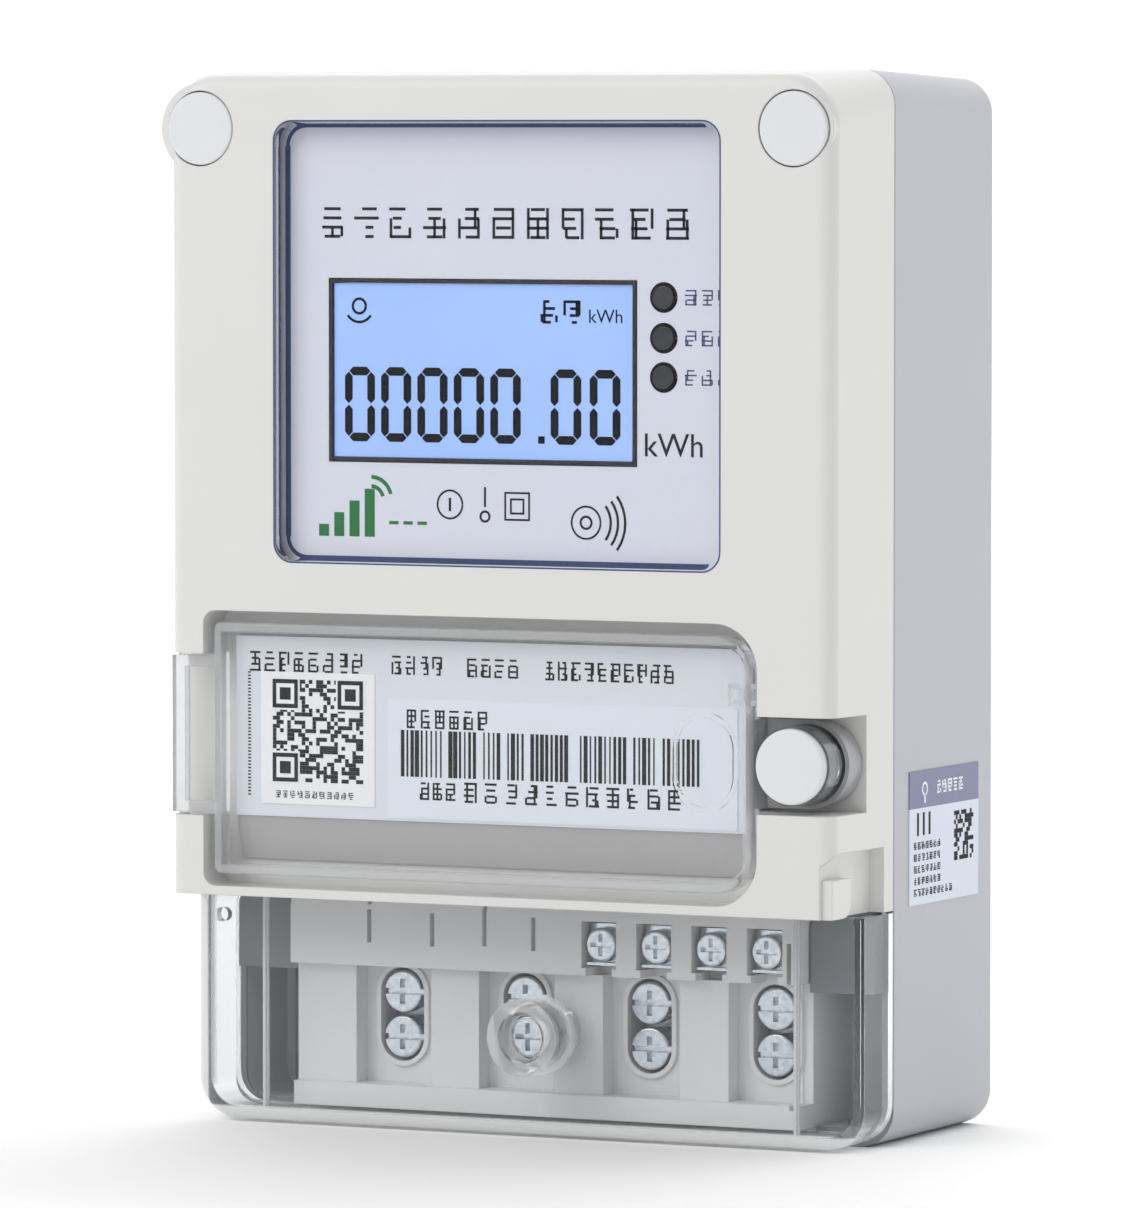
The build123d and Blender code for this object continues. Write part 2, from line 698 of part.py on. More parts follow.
with BuildPart() as terminal_block:
    with BuildSketch(Plane.YZ.offset(block_left)):
        with BuildLine():
            Polyline(
                (-4, block_low),
                (-parting_depth + 0.3, block_low),
                (-parting_depth + 0.3, ledge_low),
                (-ledge_face, ledge_low),
                (-ledge_face, ledge_high),
                (-block_face, ledge_high),
                (-block_face, band_low),
                (-band_face, band_low),
                (-band_face, block_top),
                (-4, block_top),
                close=True,
            )
        make_face()
    extrude(amount=block_right - block_left)
    # screw pockets and the slots through which the clamp screws are reached
    with BuildSketch(front(pocket_floor)):
        with Locations([(terminal_x(i), (band_low + ledge_high) / 2) for i in range(4)]):
            Rectangle(pocket_width, band_low - ledge_high)
    extrude(amount=3.3, mode=Mode.SUBTRACT)
    with BuildSketch(front(pocket_floor)):
        with Locations([(terminal_x(i), clamp_middle) for i in range(4)]):
            SlotOverall(clamp_slot[0] + 1.6, clamp_slot[1] + 1.6, rotation=90)
    extrude(amount=0.5)
    with BuildSketch(front(metal_front - 1)):
        with Locations([(terminal_x(i), clamp_middle) for i in range(4)]):
            SlotOverall(clamp_slot[0], clamp_slot[1], rotation=90)
    extrude(amount=10, mode=Mode.SUBTRACT)
    # chambers for the brass terminals, their tails and the cable entries
    with BuildSketch(Plane.XY.offset(metal_low - 0.1)):
        with Locations([(terminal_x(i), -(metal_front + metal_back) / 2) for i in range(4)]):
            Rectangle(metal_width + 0.2, metal_front - metal_back + 0.2)
    extrude(amount=metal_high - metal_low + 0.2, mode=Mode.SUBTRACT)
    with BuildSketch(Plane.XY.offset(metal_high - 1)):
        with Locations([(terminal_x(i), -terminal_depth) for i in range(4)]):
            Rectangle(6.4, 2.4)
    extrude(amount=15, mode=Mode.SUBTRACT)
    with BuildSketch(Plane.XY.offset(block_low - 1)):
        with Locations([(terminal_x(i), -terminal_depth) for i in range(4)]):
            Circle(4.6)
    extrude(amount=metal_low - block_low + 1.5, mode=Mode.SUBTRACT)
    # pillar for the screw of the terminal cover
    with BuildSketch(front(pocket_floor - 1)):
        with Locations((cover_seal_x, cover_seal_z)):
            Circle(2.9)
    extrude(amount=block_face - pocket_floor + 1)
    with BuildSketch(front(34)):
        with Locations((cover_seal_x, cover_seal_z)):
            Circle(1.7)
    extrude(amount=10, mode=Mode.SUBTRACT)
    # signal terminals: openings in the band, open below for the wires
    with BuildSketch(front(36)):
        with Locations([(signal_x(i), signal_z) for i in range(signal_count)]):
            Rectangle(5.8, 7.0)
    extrude(amount=10, mode=Mode.SUBTRACT)
    with BuildSketch(front(post_front - 1)):
        with Locations([(signal_x(i), (band_low + signal_z) / 2) for i in range(signal_count)]):
            Rectangle(4.4, signal_z - band_low)
    extrude(amount=10, mode=Mode.SUBTRACT)
    with BuildSketch(Plane.XY.offset(signal_z)):
        with Locations([(signal_x(i), -34.0) for i in range(signal_count)]):
            Rectangle(1.6, 1.6)
    extrude(amount=10, mode=Mode.SUBTRACT)
    with BuildSketch(front(30.9)):
        with Locations([(signal_x(i), signal_z) for i in range(signal_count)]):
            Rectangle(5.2, 6.2)
    extrude(amount=6, mode=Mode.SUBTRACT)
    # sight slits in the band and the groove near the right edge
    with BuildSketch(front(band_face - 1.2)):
        with Locations((-28.4, -49.6), (-17.6, -49.8), (-8.7, -49.4), (-0.4, -49.8)):
            Rectangle(0.7, 5)
    extrude(amount=3, mode=Mode.SUBTRACT)
    with BuildSketch(front(block_face - 3.5)):
        with Locations((42.2, -62)):
            Rectangle(0.7, 25)
    extrude(amount=10, mode=Mode.SUBTRACT)
save(terminal_block, "terminal_block")

# ---- cable terminals and clamp screws -----------------------------------------------------------
# Brass terminals with a tail into the electronics, each with its pair of steel clamp screws.
for number, name in enumerate(terminal_names):
    with BuildPart() as terminal:
        with BuildSketch(Plane.XY.offset(metal_low)):
            with Locations((terminal_x(number), -(metal_front + metal_back) / 2)):
                Rectangle(metal_width, metal_front - metal_back)
        extrude(amount=metal_high - metal_low)
        chamfer(terminal.edges().filter_by(Axis.Z), 0.5)
        with BuildSketch(Plane.XY.offset(metal_high)):
            with Locations((terminal_x(number), -terminal_depth)):
                Rectangle(6, 2)
        extrude(amount=tail_top - metal_high)
        with BuildSketch(Plane.XY.offset(metal_low)):
            with Locations((terminal_x(number), -terminal_depth)):
                Circle(cable_radius)
        extrude(amount=cable_bore_length, mode=Mode.SUBTRACT)
        with BuildSketch(front(terminal_depth)):
            with Locations([(terminal_x(number), z) for z in clamp_screw_heights]):
                Circle(clamp_screw_radius + 0.08)
        extrude(amount=10, mode=Mode.SUBTRACT)
    save(terminal, f"{name}_terminal")

    with BuildPart() as clamp_screws:
        with BuildSketch(front(terminal_depth + cable_radius + 0.2)):
            with Locations([(terminal_x(number), z) for z in clamp_screw_heights]):
                Circle(clamp_screw_radius)
        extrude(amount=clamp_head_back + 0.1 - terminal_depth - cable_radius - 0.2)
        with BuildSketch(front(clamp_head_back)):
            with Locations([(terminal_x(number), z) for z in clamp_screw_heights]):
                Circle(3.25)
        extrude(amount=clamp_head_front - clamp_head_back)
        fillet(clamp_screws.faces().sort_by(Axis.Y)[0].edges(), 0.4)
        fillet(clamp_screws.faces().filter_by(Axis.Y).group_by(Axis.Y)[0][-1].edges(), 0.4)
        with BuildSketch(front(clamp_head_front - 1.3)):
            with Locations([(terminal_x(number), z) for z in clamp_screw_heights]):
                Rectangle(7, 0.9)
                Rectangle(0.9, 3.8)
        extrude(amount=3, mode=Mode.SUBTRACT)
    save(clamp_screws, f"{name}_clamp_screws")

# ---- signal terminals ---------------------------------------------------------------------------
# Brass posts in the block. Each signal clamp is a small screw and its loose square plate.
with BuildPart() as signal_posts:
    with BuildSketch(front(post_back)):
        with Locations([(signal_x(i), signal_z) for i in range(signal_count)]):
            Rectangle(5, 6)
            Circle(1.6, mode=Mode.SUBTRACT)
    extrude(amount=post_front - post_back)
    with BuildSketch(Plane.XY.offset(signal_z + 2)):
        with Locations([(signal_x(i), -34.0) for i in range(signal_count)]):
            Rectangle(1.2, 1.2)
    extrude(amount=12)
save(signal_posts, "signal_posts")

for number in range(signal_count):
    with BuildPart() as signal_clamp:
        with BuildSketch(front(33)):
            with Locations((signal_x(number), signal_z)):
                Circle(1.53)
        extrude(amount=plate_front + 0.2 - 33)
        with BuildSketch(front(plate_front + 0.1)):
            with Locations((signal_x(number), signal_z)):
                Circle(2.6)
        extrude(amount=signal_head_front - plate_front - 0.1)
        fillet(signal_clamp.faces().sort_by(Axis.Y)[0].edges(), 0.5)
        with BuildSketch(front(signal_head_front - 0.9)):
            with Locations((signal_x(number), signal_z)):
                Rectangle(3.4, 0.7)
                Rectangle(0.7, 3.4)
        extrude(amount=2, mode=Mode.SUBTRACT)
        with BuildSketch(front(plate_back)):
            with Locations((signal_x(number), signal_z)):
                Rectangle(5.2, 6.2)
                Circle(1.7, mode=Mode.SUBTRACT)
        extrude(amount=plate_front - plate_back)
        with BuildSketch(front(plate_front - 0.1)):
            with Locations((signal_x(number), signal_z - 2.9)):
                Rectangle(5.2, 0.4)
        extrude(amount=1.7)
    save(signal_clamp, f"signal_clamp_{number + 1}")

# ---- terminal cover -----------------------------------------------------------------------------
# Clear tray over the terminal chamber, open behind and above, where the front cover closes it. One
# sealing screw in a tapered boss holds it.
cover_half = width / 2
cover_top = split_z - 0.3
cover_bottom = bottom_z + 0.4
cover_back = parting_depth + 0.1
cover_wall = 1.8
seat_depth = 46.5

with BuildPart() as terminal_cover:
    with BuildSketch(front(cover_back)) as chamber_outline:
        with Locations((0, (cover_top + cover_bottom) / 2)):
            Rectangle(2 * cover_half, cover_top - cover_bottom)
        fillet(chamber_outline.vertices().group_by(Axis.Y)[0], 6.5)
    extrude(amount=chamber_depth - cover_back)
    fillet(terminal_cover.faces().sort_by(Axis.Y)[0].edges(), 1.6)
    with BuildSketch(front(cover_back)) as chamber_inside:
        with Locations((0, (cover_top + cover_bottom) / 2 + cover_wall)):
            Rectangle(2 * (cover_half - cover_wall), cover_top - cover_bottom)
        fillet(chamber_inside.vertices().group_by(Axis.Y)[0], 4.7)
    extrude(amount=chamber_depth - cover_back - cover_wall, mode=Mode.SUBTRACT)
    with BuildSketch(front(block_face + fit_gap)):
        with Locations((cover_seal_x, cover_seal_z)):
            Circle(4.1)
    with BuildSketch(front(seal_front)):
        with Locations((cover_seal_x, cover_seal_z)):
            Circle(5.8)
    loft()
    with BuildSketch(front(30)):
        with Locations((cover_seal_x, cover_seal_z)):
            Circle(1.7)
    extrude(amount=30, mode=Mode.SUBTRACT)
    with BuildSketch(front(seat_depth)):
        with Locations((cover_seal_x, cover_seal_z)):
            Circle(3.5)
    extrude(amount=20, mode=Mode.SUBTRACT)
    with BuildSketch(front(chamber_depth - 4)):
        with Locations((-51.6, -48.4)):
            Circle(1.1)
    extrude(amount=8, mode=Mode.SUBTRACT)
save(terminal_cover, "terminal_cover")

with BuildPart() as cover_seal_screw:
    with BuildSketch(front(36)):
        with Locations((cover_seal_x, cover_seal_z)):
            Circle(1.5)
    extrude(amount=seat_depth + 0.1 - 36)
    with BuildSketch(front(seat_depth + 0.1)):
        with Locations((cover_seal_x, cover_seal_z)):
            Circle(3.1)
    extrude(amount=5.2)
    fillet(cover_seal_screw.faces().sort_by(Axis.Y)[0].edges(), 0.4)
    with BuildSketch(front(50.4)):
        with Locations((cover_seal_x, cover_seal_z)):
            Rectangle(4.2, 0.8)
            Rectangle(0.8, 4.2)
    extrude(amount=2, mode=Mode.SUBTRACT)
    with BuildSketch(Plane.YZ.offset(cover_seal_x - 5)):
        with Locations((-49.0, cover_seal_z)):
            Circle(0.6)
    extrude(amount=10, mode=Mode.SUBTRACT)
save(cover_seal_screw, "cover_seal_screw")

# ---- electronics --------------------------------------------------------------------------------
with BuildPart() as main_board:
    with BuildSketch(front(board_depth)):
        with Locations((0, board_z)):
            Rectangle(board_size[0], board_size[1])
            with GridLocations(board_size[0] - 8, board_size[1] - 8, 2, 2):
                Circle(1.6, mode=Mode.SUBTRACT)
    extrude(amount=-1.6)
save(main_board, "main_board")

with BuildPart() as board_screws:
    with BuildSketch(front(board_depth)):
        with Locations((0, board_z)):
            with GridLocations(board_size[0] - 8, board_size[1] - 8, 2, 2):
                Circle(2.4)
    extrude(amount=1.8)
    with BuildSketch(front(board_depth)):
        with Locations((0, board_z)):
            with GridLocations(board_size[0] - 8, board_size[1] - 8, 2, 2):
                Circle(1.2)
    extrude(amount=-8)
save(board_screws, "board_screws")

# Latching relay that cuts the supply when the credit runs out, behind the two line terminals' tails.
bar_front = terminal_depth - 1.0
bar_back = bar_front - 2.0
with BuildPart() as latching_relay:
    with BuildSketch(front(bar_back)):
        with Locations((-15, -19)):
            RectangleRounded(38, 34, 1)
    extrude(amount=-15)
save(latching_relay, "latching_relay")

# Measuring shunt and the copper bar that returns the line to its outgoing terminal.
for number, name in ((0, "measuring_shunt"), (1, "line_out_bar")):
    with BuildPart() as bar:
        with BuildSketch(front(bar_front)):
            with Locations((terminal_x(number), -29)):
                Rectangle(6, 24)
        extrude(amount=-2)
    save(bar, name)

with BuildPart() as neutral_link:
    with BuildSketch(front(bar_front)):
        with Locations((terminal_x(2), -32), (terminal_x(3), -32)):
            Rectangle(6, 20)
        with Locations(((terminal_x(2) + terminal_x(3)) / 2, -26)):
            Rectangle(terminal_pitch + 6, 5)
    extrude(amount=-2)
save(neutral_link, "neutral_link")

# Ring transformer around the neutral link.
with BuildPart() as current_transformer:
    with BuildSketch(Plane.YZ.offset((terminal_x(2) + terminal_x(3)) / 2 - 4)):
        with Locations((-bar_front + 1, -26)):
            Circle(8.4)
            Circle(3.8, mode=Mode.SUBTRACT)
    extrude(amount=8)
save(current_transformer, "current_transformer")

board_back = board_depth - 1.6
with BuildPart() as power_transformer:
    with BuildSketch(front(board_back)):
        with Locations((-22, 34)):
            RectangleRounded(30, 26, 1)
    extrude(amount=-20)
save(power_transformer, "power_transformer")

with BuildPart() as supply_capacitor:
    with BuildSketch(front(board_back)):
        with Locations((6, 34)):
            Circle(6.3)
    extrude(amount=-20)
    fillet(supply_capacitor.faces().sort_by(Axis.Y)[-1].edges(), 0.8)
save(supply_capacitor, "supply_capacitor")

with BuildPart() as surge_varistor:
    with BuildSketch(Plane.XY.offset(14)):
        with Locations((-2, -board_back + 8)):
            Circle(7)
    extrude(amount=4.5)
    fillet(surge_varistor.edges().filter_by(GeomType.CIRCLE), 1)
save(surge_varistor, "surge_varistor")

with BuildPart() as backup_battery:
    with BuildSketch(Plane.YZ.offset(8)):
        with Locations((-board_back + 7.4, 56)):
            Circle(7.2)
    extrude(amount=25)
save(backup_battery, "backup_battery")

with BuildPart() as metering_chip:
    with BuildSketch(front(board_depth)):
        with Locations((12, 8)):
            Rectangle(10, 10)
    extrude(amount=1.6)
save(metering_chip, "metering_chip")

with BuildPart() as board_link:
    with BuildSketch(front(board_depth)):
        with Locations((-20, 60)):
            Rectangle(26, 5)
    extrude(amount=display_board_depth - 1.6 - board_depth)
save(board_link, "board_link")
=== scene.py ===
import math
import random

import bmesh
import bpy
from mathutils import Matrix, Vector


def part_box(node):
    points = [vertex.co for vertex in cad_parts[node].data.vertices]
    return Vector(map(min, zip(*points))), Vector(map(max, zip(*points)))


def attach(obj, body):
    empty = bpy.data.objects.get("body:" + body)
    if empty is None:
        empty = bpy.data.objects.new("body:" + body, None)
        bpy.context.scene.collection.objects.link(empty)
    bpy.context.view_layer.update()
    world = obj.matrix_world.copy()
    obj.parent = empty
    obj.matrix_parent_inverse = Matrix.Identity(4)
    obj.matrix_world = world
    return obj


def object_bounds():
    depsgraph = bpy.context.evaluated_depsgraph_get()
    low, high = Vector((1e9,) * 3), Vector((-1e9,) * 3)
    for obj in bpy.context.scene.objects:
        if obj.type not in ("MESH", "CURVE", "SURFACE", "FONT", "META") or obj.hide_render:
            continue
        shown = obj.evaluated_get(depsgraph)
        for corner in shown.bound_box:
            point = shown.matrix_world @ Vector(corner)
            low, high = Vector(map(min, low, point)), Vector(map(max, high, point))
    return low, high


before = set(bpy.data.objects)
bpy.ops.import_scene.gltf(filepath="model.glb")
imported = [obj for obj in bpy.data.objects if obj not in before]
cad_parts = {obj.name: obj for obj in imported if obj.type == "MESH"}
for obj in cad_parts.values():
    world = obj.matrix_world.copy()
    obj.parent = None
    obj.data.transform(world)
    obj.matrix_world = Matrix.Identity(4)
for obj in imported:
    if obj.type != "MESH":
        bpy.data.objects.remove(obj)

cad_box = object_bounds()
MM = 0.001

# ---- Rear shell ---------------------------------------------------------------------------------
# Deep tray that carries everything and hangs on the wall. Injection-moulded ABS, blue-grey, with
# the fine matt grain of a spark-eroded mould, so it looks soft and slightly cool.


def linear(colour):
    """Linear RGBA of an sRGB hex colour."""
    values = []
    for start in (0, 2, 4):
        value = int(colour[start:start + 2], 16) / 255
        values.append(value / 12.92 if value <= 0.04045 else ((value + 0.055) / 1.055) ** 2.4)
    return (*values, 1.0)


def add_node(tree, kind, settings=None, links=None):
    """Adds one node, sets its properties and inputs, and links its inputs to other sockets."""
    made = tree.nodes.new(kind)
    for name, value in (settings or {}).items():
        if isinstance(name, int) or name in made.inputs:
            made.inputs[name].default_value = value
        else:
            setattr(made, name, value)
    for name, socket in (links or {}).items():
        tree.links.new(socket, made.inputs[name])
    return made


def new_material(name):
    """Empty node material."""
    made = bpy.data.materials.new(name)
    made.use_nodes = True
    made.node_tree.nodes.clear()
    return made


def moulded_plastic(
    name, colour, shade, roughness=0.42, grain=0.4, relief=0.10, edge=0.25, sheen_level=0.5
):
    """Moulded plastic: slow drift between two near colours, mould grain and softened edges, in mm."""
    made = new_material(name)
    tree = made.node_tree
    place = add_node(tree, "ShaderNodeTexCoord").outputs["Object"]
    drift = add_node(
        tree, "ShaderNodeTexNoise", {"Scale": 1 / (25 * MM), "Detail": 2.0}, {"Vector": place}
    )
    tint = add_node(
        tree, "ShaderNodeMix", {"data_type": "RGBA", 6: linear(colour), 7: linear(shade)},
        {0: drift.outputs[0]}
    )
    mould = add_node(
        tree, "ShaderNodeTexNoise", {"Scale": 1 / (grain * MM), "Detail": 3.0}, {"Vector": place}
    )
    gloss = add_node(
        tree, "ShaderNodeMapRange", {"To Min": roughness - 0.07, "To Max": roughness + 0.07},
        {"Value": mould.outputs[0]}
    )
    rounded = add_node(tree, "ShaderNodeBevel", {"samples": 4, "Radius": edge * MM})
    height = add_node(
        tree, "ShaderNodeBump", {"Strength": relief, "Distance": 0.05 * MM},
        {"Height": mould.outputs[0], "Normal": rounded.outputs["Normal"]},
    )
    surface = add_node(
        tree, "ShaderNodeBsdfPrincipled", {"IOR": 1.53, "Specular IOR Level": sheen_level},
        {
            "Base Color": tint.outputs[2], "Roughness": gloss.outputs["Result"],
            "Normal": height.outputs["Normal"],
        },
    )
    add_node(tree, "ShaderNodeOutputMaterial", {}, {"Surface": surface.outputs["BSDF"]})
    return made


def dress(material, *nodes):
    """Gives CAD nodes their material."""
    for node in nodes:
        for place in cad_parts[node].material_slots:
            place.material = material


def tint_over(material, colour, mask):
    """Lays a colour over a material's base colour where the mask socket is 1."""
    tree = material.node_tree
    colour_input = next(n for n in tree.nodes if n.type == "BSDF_PRINCIPLED").inputs["Base Color"]
    covered = add_node(
        tree, "ShaderNodeMix", {"data_type": "RGBA", 7: linear(colour)},
        {0: mask, 6: colour_input.links[0].from_socket}
    )
    tree.links.new(covered.outputs[2], colour_input)


def position(material, axis):
    """Socket with the height, depth or side place of a point on the piece."""
    place = add_node(material.node_tree, "ShaderNodeTexCoord").outputs["Object"]
    return add_node(material.node_tree, "ShaderNodeSeparateXYZ", {}, {"Vector": place}).outputs[axis]


shell_material = moulded_plastic("blue_grey_abs", "BBBEC4", "B7BAC0", roughness=0.48)
shell_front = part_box("front_cover")[1][1]
# painted shadow: the last third of a millimetre of the shell before the cover is painted dark grey, the
# shade in the gap at the gasket
seam_shadow = add_node(
    shell_material.node_tree, "ShaderNodeMapRange",
    {"From Min": shell_front + 0.45 * MM, "From Max": shell_front + 0.25 * MM},
    {"Value": position(shell_material, "Y")},
)
tint_over(shell_material, "7F8288", seam_shadow.outputs["Result"])
dress(shell_material, "rear_shell")

# ---- Front cover --------------------------------------------------------------------------------
# The large moulding with the window frame and the door recess. Warm white ABS from the same kind of
# mould; a little smoother than the shell, so its rounded edges catch soft highlights.
dress(moulded_plastic("warm_white_abs", "E2E2E0", "DEDEDC", roughness=0.38, relief=0.08), "front_cover")

# ---- Cover gasket -------------------------------------------------------------------------------
# Silicone ring pressed between shell and cover. Black, matt, only a hairline of it shows.
dress(moulded_plastic("silicone_rubber", "1B1B1D", "202022", roughness=0.7, edge=0.1), "cover_gasket")

# ---- Plug caps ----------------------------------------------------------------------------------
# Two snap-in discs over the cover screws. Polypropylene, a cooler white than the cover, satin.
cap_material = moulded_plastic(
    "cool_white_polypropylene", "E4E7EA", "DFE2E6", roughness=0.34, relief=0.05
)
dress(cap_material, "plug_cap_left", "plug_cap_right")

# ---- Cover screws and wall hook -----------------------------------------------------------------
# Pressed and rolled steel with a clear zinc coat: grey, with the faint mottling of the crystals.


def plated_metal(name, colour, shade, roughness, drift_size, brushed=0.0):
    """Plated metal: clouded colour at drift_size millimetres, and fine turning marks where brushed."""
    made = new_material(name)
    tree = made.node_tree
    place = add_node(tree, "ShaderNodeTexCoord").outputs["Object"]
    cloud = add_node(
        tree, "ShaderNodeTexNoise", {"Scale": 1 / (drift_size * MM), "Detail": 4.0}, {"Vector": place}
    )
    tint = add_node(
        tree, "ShaderNodeMix", {"data_type": "RGBA", 6: linear(colour), 7: linear(shade)},
        {0: cloud.outputs[0]}
    )
    # lathe and press marks about 0.15 mm apart, drawn along Z
    marks = add_node(tree, "ShaderNodeMapping", {"Scale": (1.0, 1.0, 8.0)}, {"Vector": place})
    lines = add_node(
        tree, "ShaderNodeTexNoise", {"Scale": 1 / (0.9 * MM), "Detail": 2.0},
        {"Vector": marks.outputs[0]},
    )
    gloss = add_node(
        tree, "ShaderNodeMapRange", {"To Min": roughness - 0.08, "To Max": roughness + 0.10},
        {"Value": cloud.outputs[0]}
    )
    height = add_node(
        tree, "ShaderNodeBump", {"Strength": brushed, "Distance": 0.02 * MM},
        {"Height": lines.outputs[0]}
    )
    surface = add_node(
        tree, "ShaderNodeBsdfPrincipled", {"Metallic": 1.0},
        {
            "Base Color": tint.outputs[2], "Roughness": gloss.outputs["Result"],
            "Normal": height.outputs["Normal"],
        },
    )
    add_node(tree, "ShaderNodeOutputMaterial", {}, {"Surface": surface.outputs["BSDF"]})
    return made


zinc = plated_metal("zinc_plated_steel", "A9ADB1", "C3C6C8", 0.36, 2.0, brushed=0.15)
dress(zinc, "cover_screws", "wall_hook", "board_screws")

# ---- Window lens --------------------------------------------------------------------------------
# Clear lens bonded into the cover. Polycarbonate, polished, faintly blue where it is seen edge-on.


def clear_polycarbonate(name, tint, ior, rim=None, collar=None, frosting_and_painted_light=0.0, frosting_and_painted_light_colour="D5D7DA"):
    """Clear moulded polycarbonate. Light from the lamps passes straight through to what it covers.

    A low index keeps the white veil of the room off what lies behind, as a glare coating does.
    rim is (centre x, centre z, half width, half height, front): outside it the face is mixed
    towards a flat colour, painted highlight or painted shade of the edges, less so more than 3 mm
    behind the front. collar is (centre x, centre z, inner radius, outer radius): a ring between the
    radii mixed the same way, partly the frosting of the moulding and partly painted highlight. All
    in metres.
    """
    roughness = 0.02
    frosting_and_painted_light_ramp = 0.4 * MM
    made = new_material(name)
    tree = made.node_tree
    place = add_node(tree, "ShaderNodeTexCoord").outputs["Object"]
    flow = add_node(
        tree, "ShaderNodeTexNoise", {"Scale": 1 / (9 * MM), "Detail": 1.0}, {"Vector": place}
    )
    gloss = add_node(
        tree, "ShaderNodeMapRange", {"To Min": roughness * 0.5, "To Max": roughness * 1.5},
        {"Value": flow.outputs[0]}
    )
    height = add_node(
        tree, "ShaderNodeBump", {"Strength": 0.02, "Distance": 0.1 * MM}, {"Height": flow.outputs[0]}
    )
    body = add_node(
        tree, "ShaderNodeBsdfPrincipled",
        {"Base Color": linear(tint), "Transmission Weight": 1.0, "IOR": ior},
        {"Roughness": gloss.outputs["Result"], "Normal": height.outputs["Normal"]},
    )
    passing = add_node(tree, "ShaderNodeBsdfTransparent", {"Color": linear(tint)})
    ray = add_node(tree, "ShaderNodeLightPath")
    surface = add_node(
        tree, "ShaderNodeMixShader", {},
        {0: ray.outputs["Is Shadow Ray"], 1: body.outputs["BSDF"], 2: passing.outputs["BSDF"]},
    )
    # painted light: outside the rim and in the collar ring the face is mixed towards a flat colour,
    # painted highlight or painted shade
    if rim:
        centred = add_node(
            tree, "ShaderNodeVectorMath", {"operation": "SUBTRACT", 1: (rim[0], 0.0, rim[1])}, {0: place}
        )
        away = add_node(tree, "ShaderNodeVectorMath", {"operation": "ABSOLUTE"}, {0: centred.outputs[0]})
        parts = add_node(tree, "ShaderNodeSeparateXYZ", {}, {"Vector": away.outputs[0]})
        past_x = add_node(
            tree, "ShaderNodeMath", {"operation": "SUBTRACT", 1: rim[2]}, {0: parts.outputs["X"]}
        )
        past_z = add_node(
            tree, "ShaderNodeMath", {"operation": "SUBTRACT", 1: rim[3]}, {0: parts.outputs["Z"]}
        )
        past = add_node(
            tree, "ShaderNodeMath", {"operation": "MAXIMUM"},
            {0: past_x.outputs[0], 1: past_z.outputs[0]}
        )
        frosting_and_painted_light_share = add_node(
            tree, "ShaderNodeMapRange", {"From Min": 0.0, "From Max": frosting_and_painted_light_ramp, "To Max": frosting_and_painted_light},
            {"Value": past.outputs[0]},
        ).outputs["Result"]
        near_front = add_node(
            tree, "ShaderNodeMapRange",
            {"From Min": rim[4] + 2.5 * MM, "From Max": rim[4] + 4 * MM, "To Min": 1.0, "To Max": 0.22},
            {"Value": position(made, "Y")},
        )
        frosting_and_painted_light_share = add_node(
            tree, "ShaderNodeMath", {"operation": "MULTIPLY"}, {0: frosting_and_painted_light_share, 1: near_front.outputs["Result"]}
        ).outputs[0]
        if collar:
            across = add_node(
                tree, "ShaderNodeVectorMath",
                {"operation": "MULTIPLY_ADD", 1: (1.0, 0.0, 1.0), 2: (-collar[0], 0.0, -collar[1])},
                {0: place},
            )
            reach = add_node(
                tree, "ShaderNodeVectorMath", {"operation": "LENGTH"}, {0: across.outputs[0]}
            )
            middle, half = (collar[2] + collar[3]) / 2, (collar[3] - collar[2]) / 2
            off = add_node(
                tree, "ShaderNodeMath", {"operation": "SUBTRACT", 1: middle}, {0: reach.outputs["Value"]}
            )
            off_size = add_node(tree, "ShaderNodeMath", {"operation": "ABSOLUTE"}, {0: off.outputs[0]})
            ring = add_node(
                tree, "ShaderNodeMapRange",
                {"From Min": half, "From Max": half - 0.3 * MM, "To Max": frosting_and_painted_light * 0.45},
                {"Value": off_size.outputs[0]},
            )
            frosting_and_painted_light_share = add_node(
                tree, "ShaderNodeMath", {"operation": "MAXIMUM"}, {0: frosting_and_painted_light_share, 1: ring.outputs["Result"]}
            ).outputs[0]
        frosting_and_painted_light_surface = add_node(
            tree, "ShaderNodeBsdfPrincipled", {"Base Color": linear(frosting_and_painted_light_colour), "Roughness": 0.3}
        )
        surface = add_node(
            tree, "ShaderNodeMixShader", {},
            {0: frosting_and_painted_light_share, 1: surface.outputs[0], 2: frosting_and_painted_light_surface.outputs["BSDF"]},
        )
    add_node(tree, "ShaderNodeOutputMaterial", {}, {"Surface": surface.outputs[0]})
    return made


dress(clear_polycarbonate("clear_polycarbonate", "FEFEFF", 1.2), "window_lens")

# ---- Face panel ---------------------------------------------------------------------------------
# Plate behind the lens, screen-printed on light blue-grey film. Its marks are generic: a row of
# blocks for the title, a unit, symbols and legends beside the three lamps.
panel_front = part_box("face_panel")[0][1]
dress(
    moulded_plastic("printed_film", "DDE1ED", "D9DDEA", roughness=0.3, relief=0.02, edge=0.1),
    "face_panel",
)


def printing_ink(name, colour):
    """Screen-printing ink: matt, a little uneven in density."""
    return moulded_plastic(name, colour, colour, roughness=0.6, relief=0.02, edge=0.01, sheen_level=0.2)


dark_ink = printing_ink("dark_grey_ink", "24272D")
green_ink = printing_ink("green_ink", "2F7A45")
navy_ink = printing_ink("navy_ink", "46557F")
PRINT_THICKNESS = 0.03 * MM


def bar(x, z, bar_width, bar_height):
    """Corners of an upright rectangle round (x, z), in millimetres."""
    w, h = bar_width / 2, bar_height / 2
    return [(x - w, z - h), (x + w, z - h), (x + w, z + h), (x - w, z + h)]


def arc(x, z, radius, line, start=0.0, end=359.0):
    """Corners of a curved line of that width, from one angle to another in degrees, in millimetres."""
    steps = max(6, int((end - start) / 9))
    angles = [math.radians(start + (end - start) * i / steps) for i in range(steps + 1)]
    outside = [
        (x + (radius + line / 2) * math.cos(a), z + (radius + line / 2) * math.sin(a)) for a in angles
    ]
    inside = [
        (x + (radius - line / 2) * math.cos(a), z + (radius - line / 2) * math.sin(a)) for a in angles
    ]
    return outside + inside[::-1]


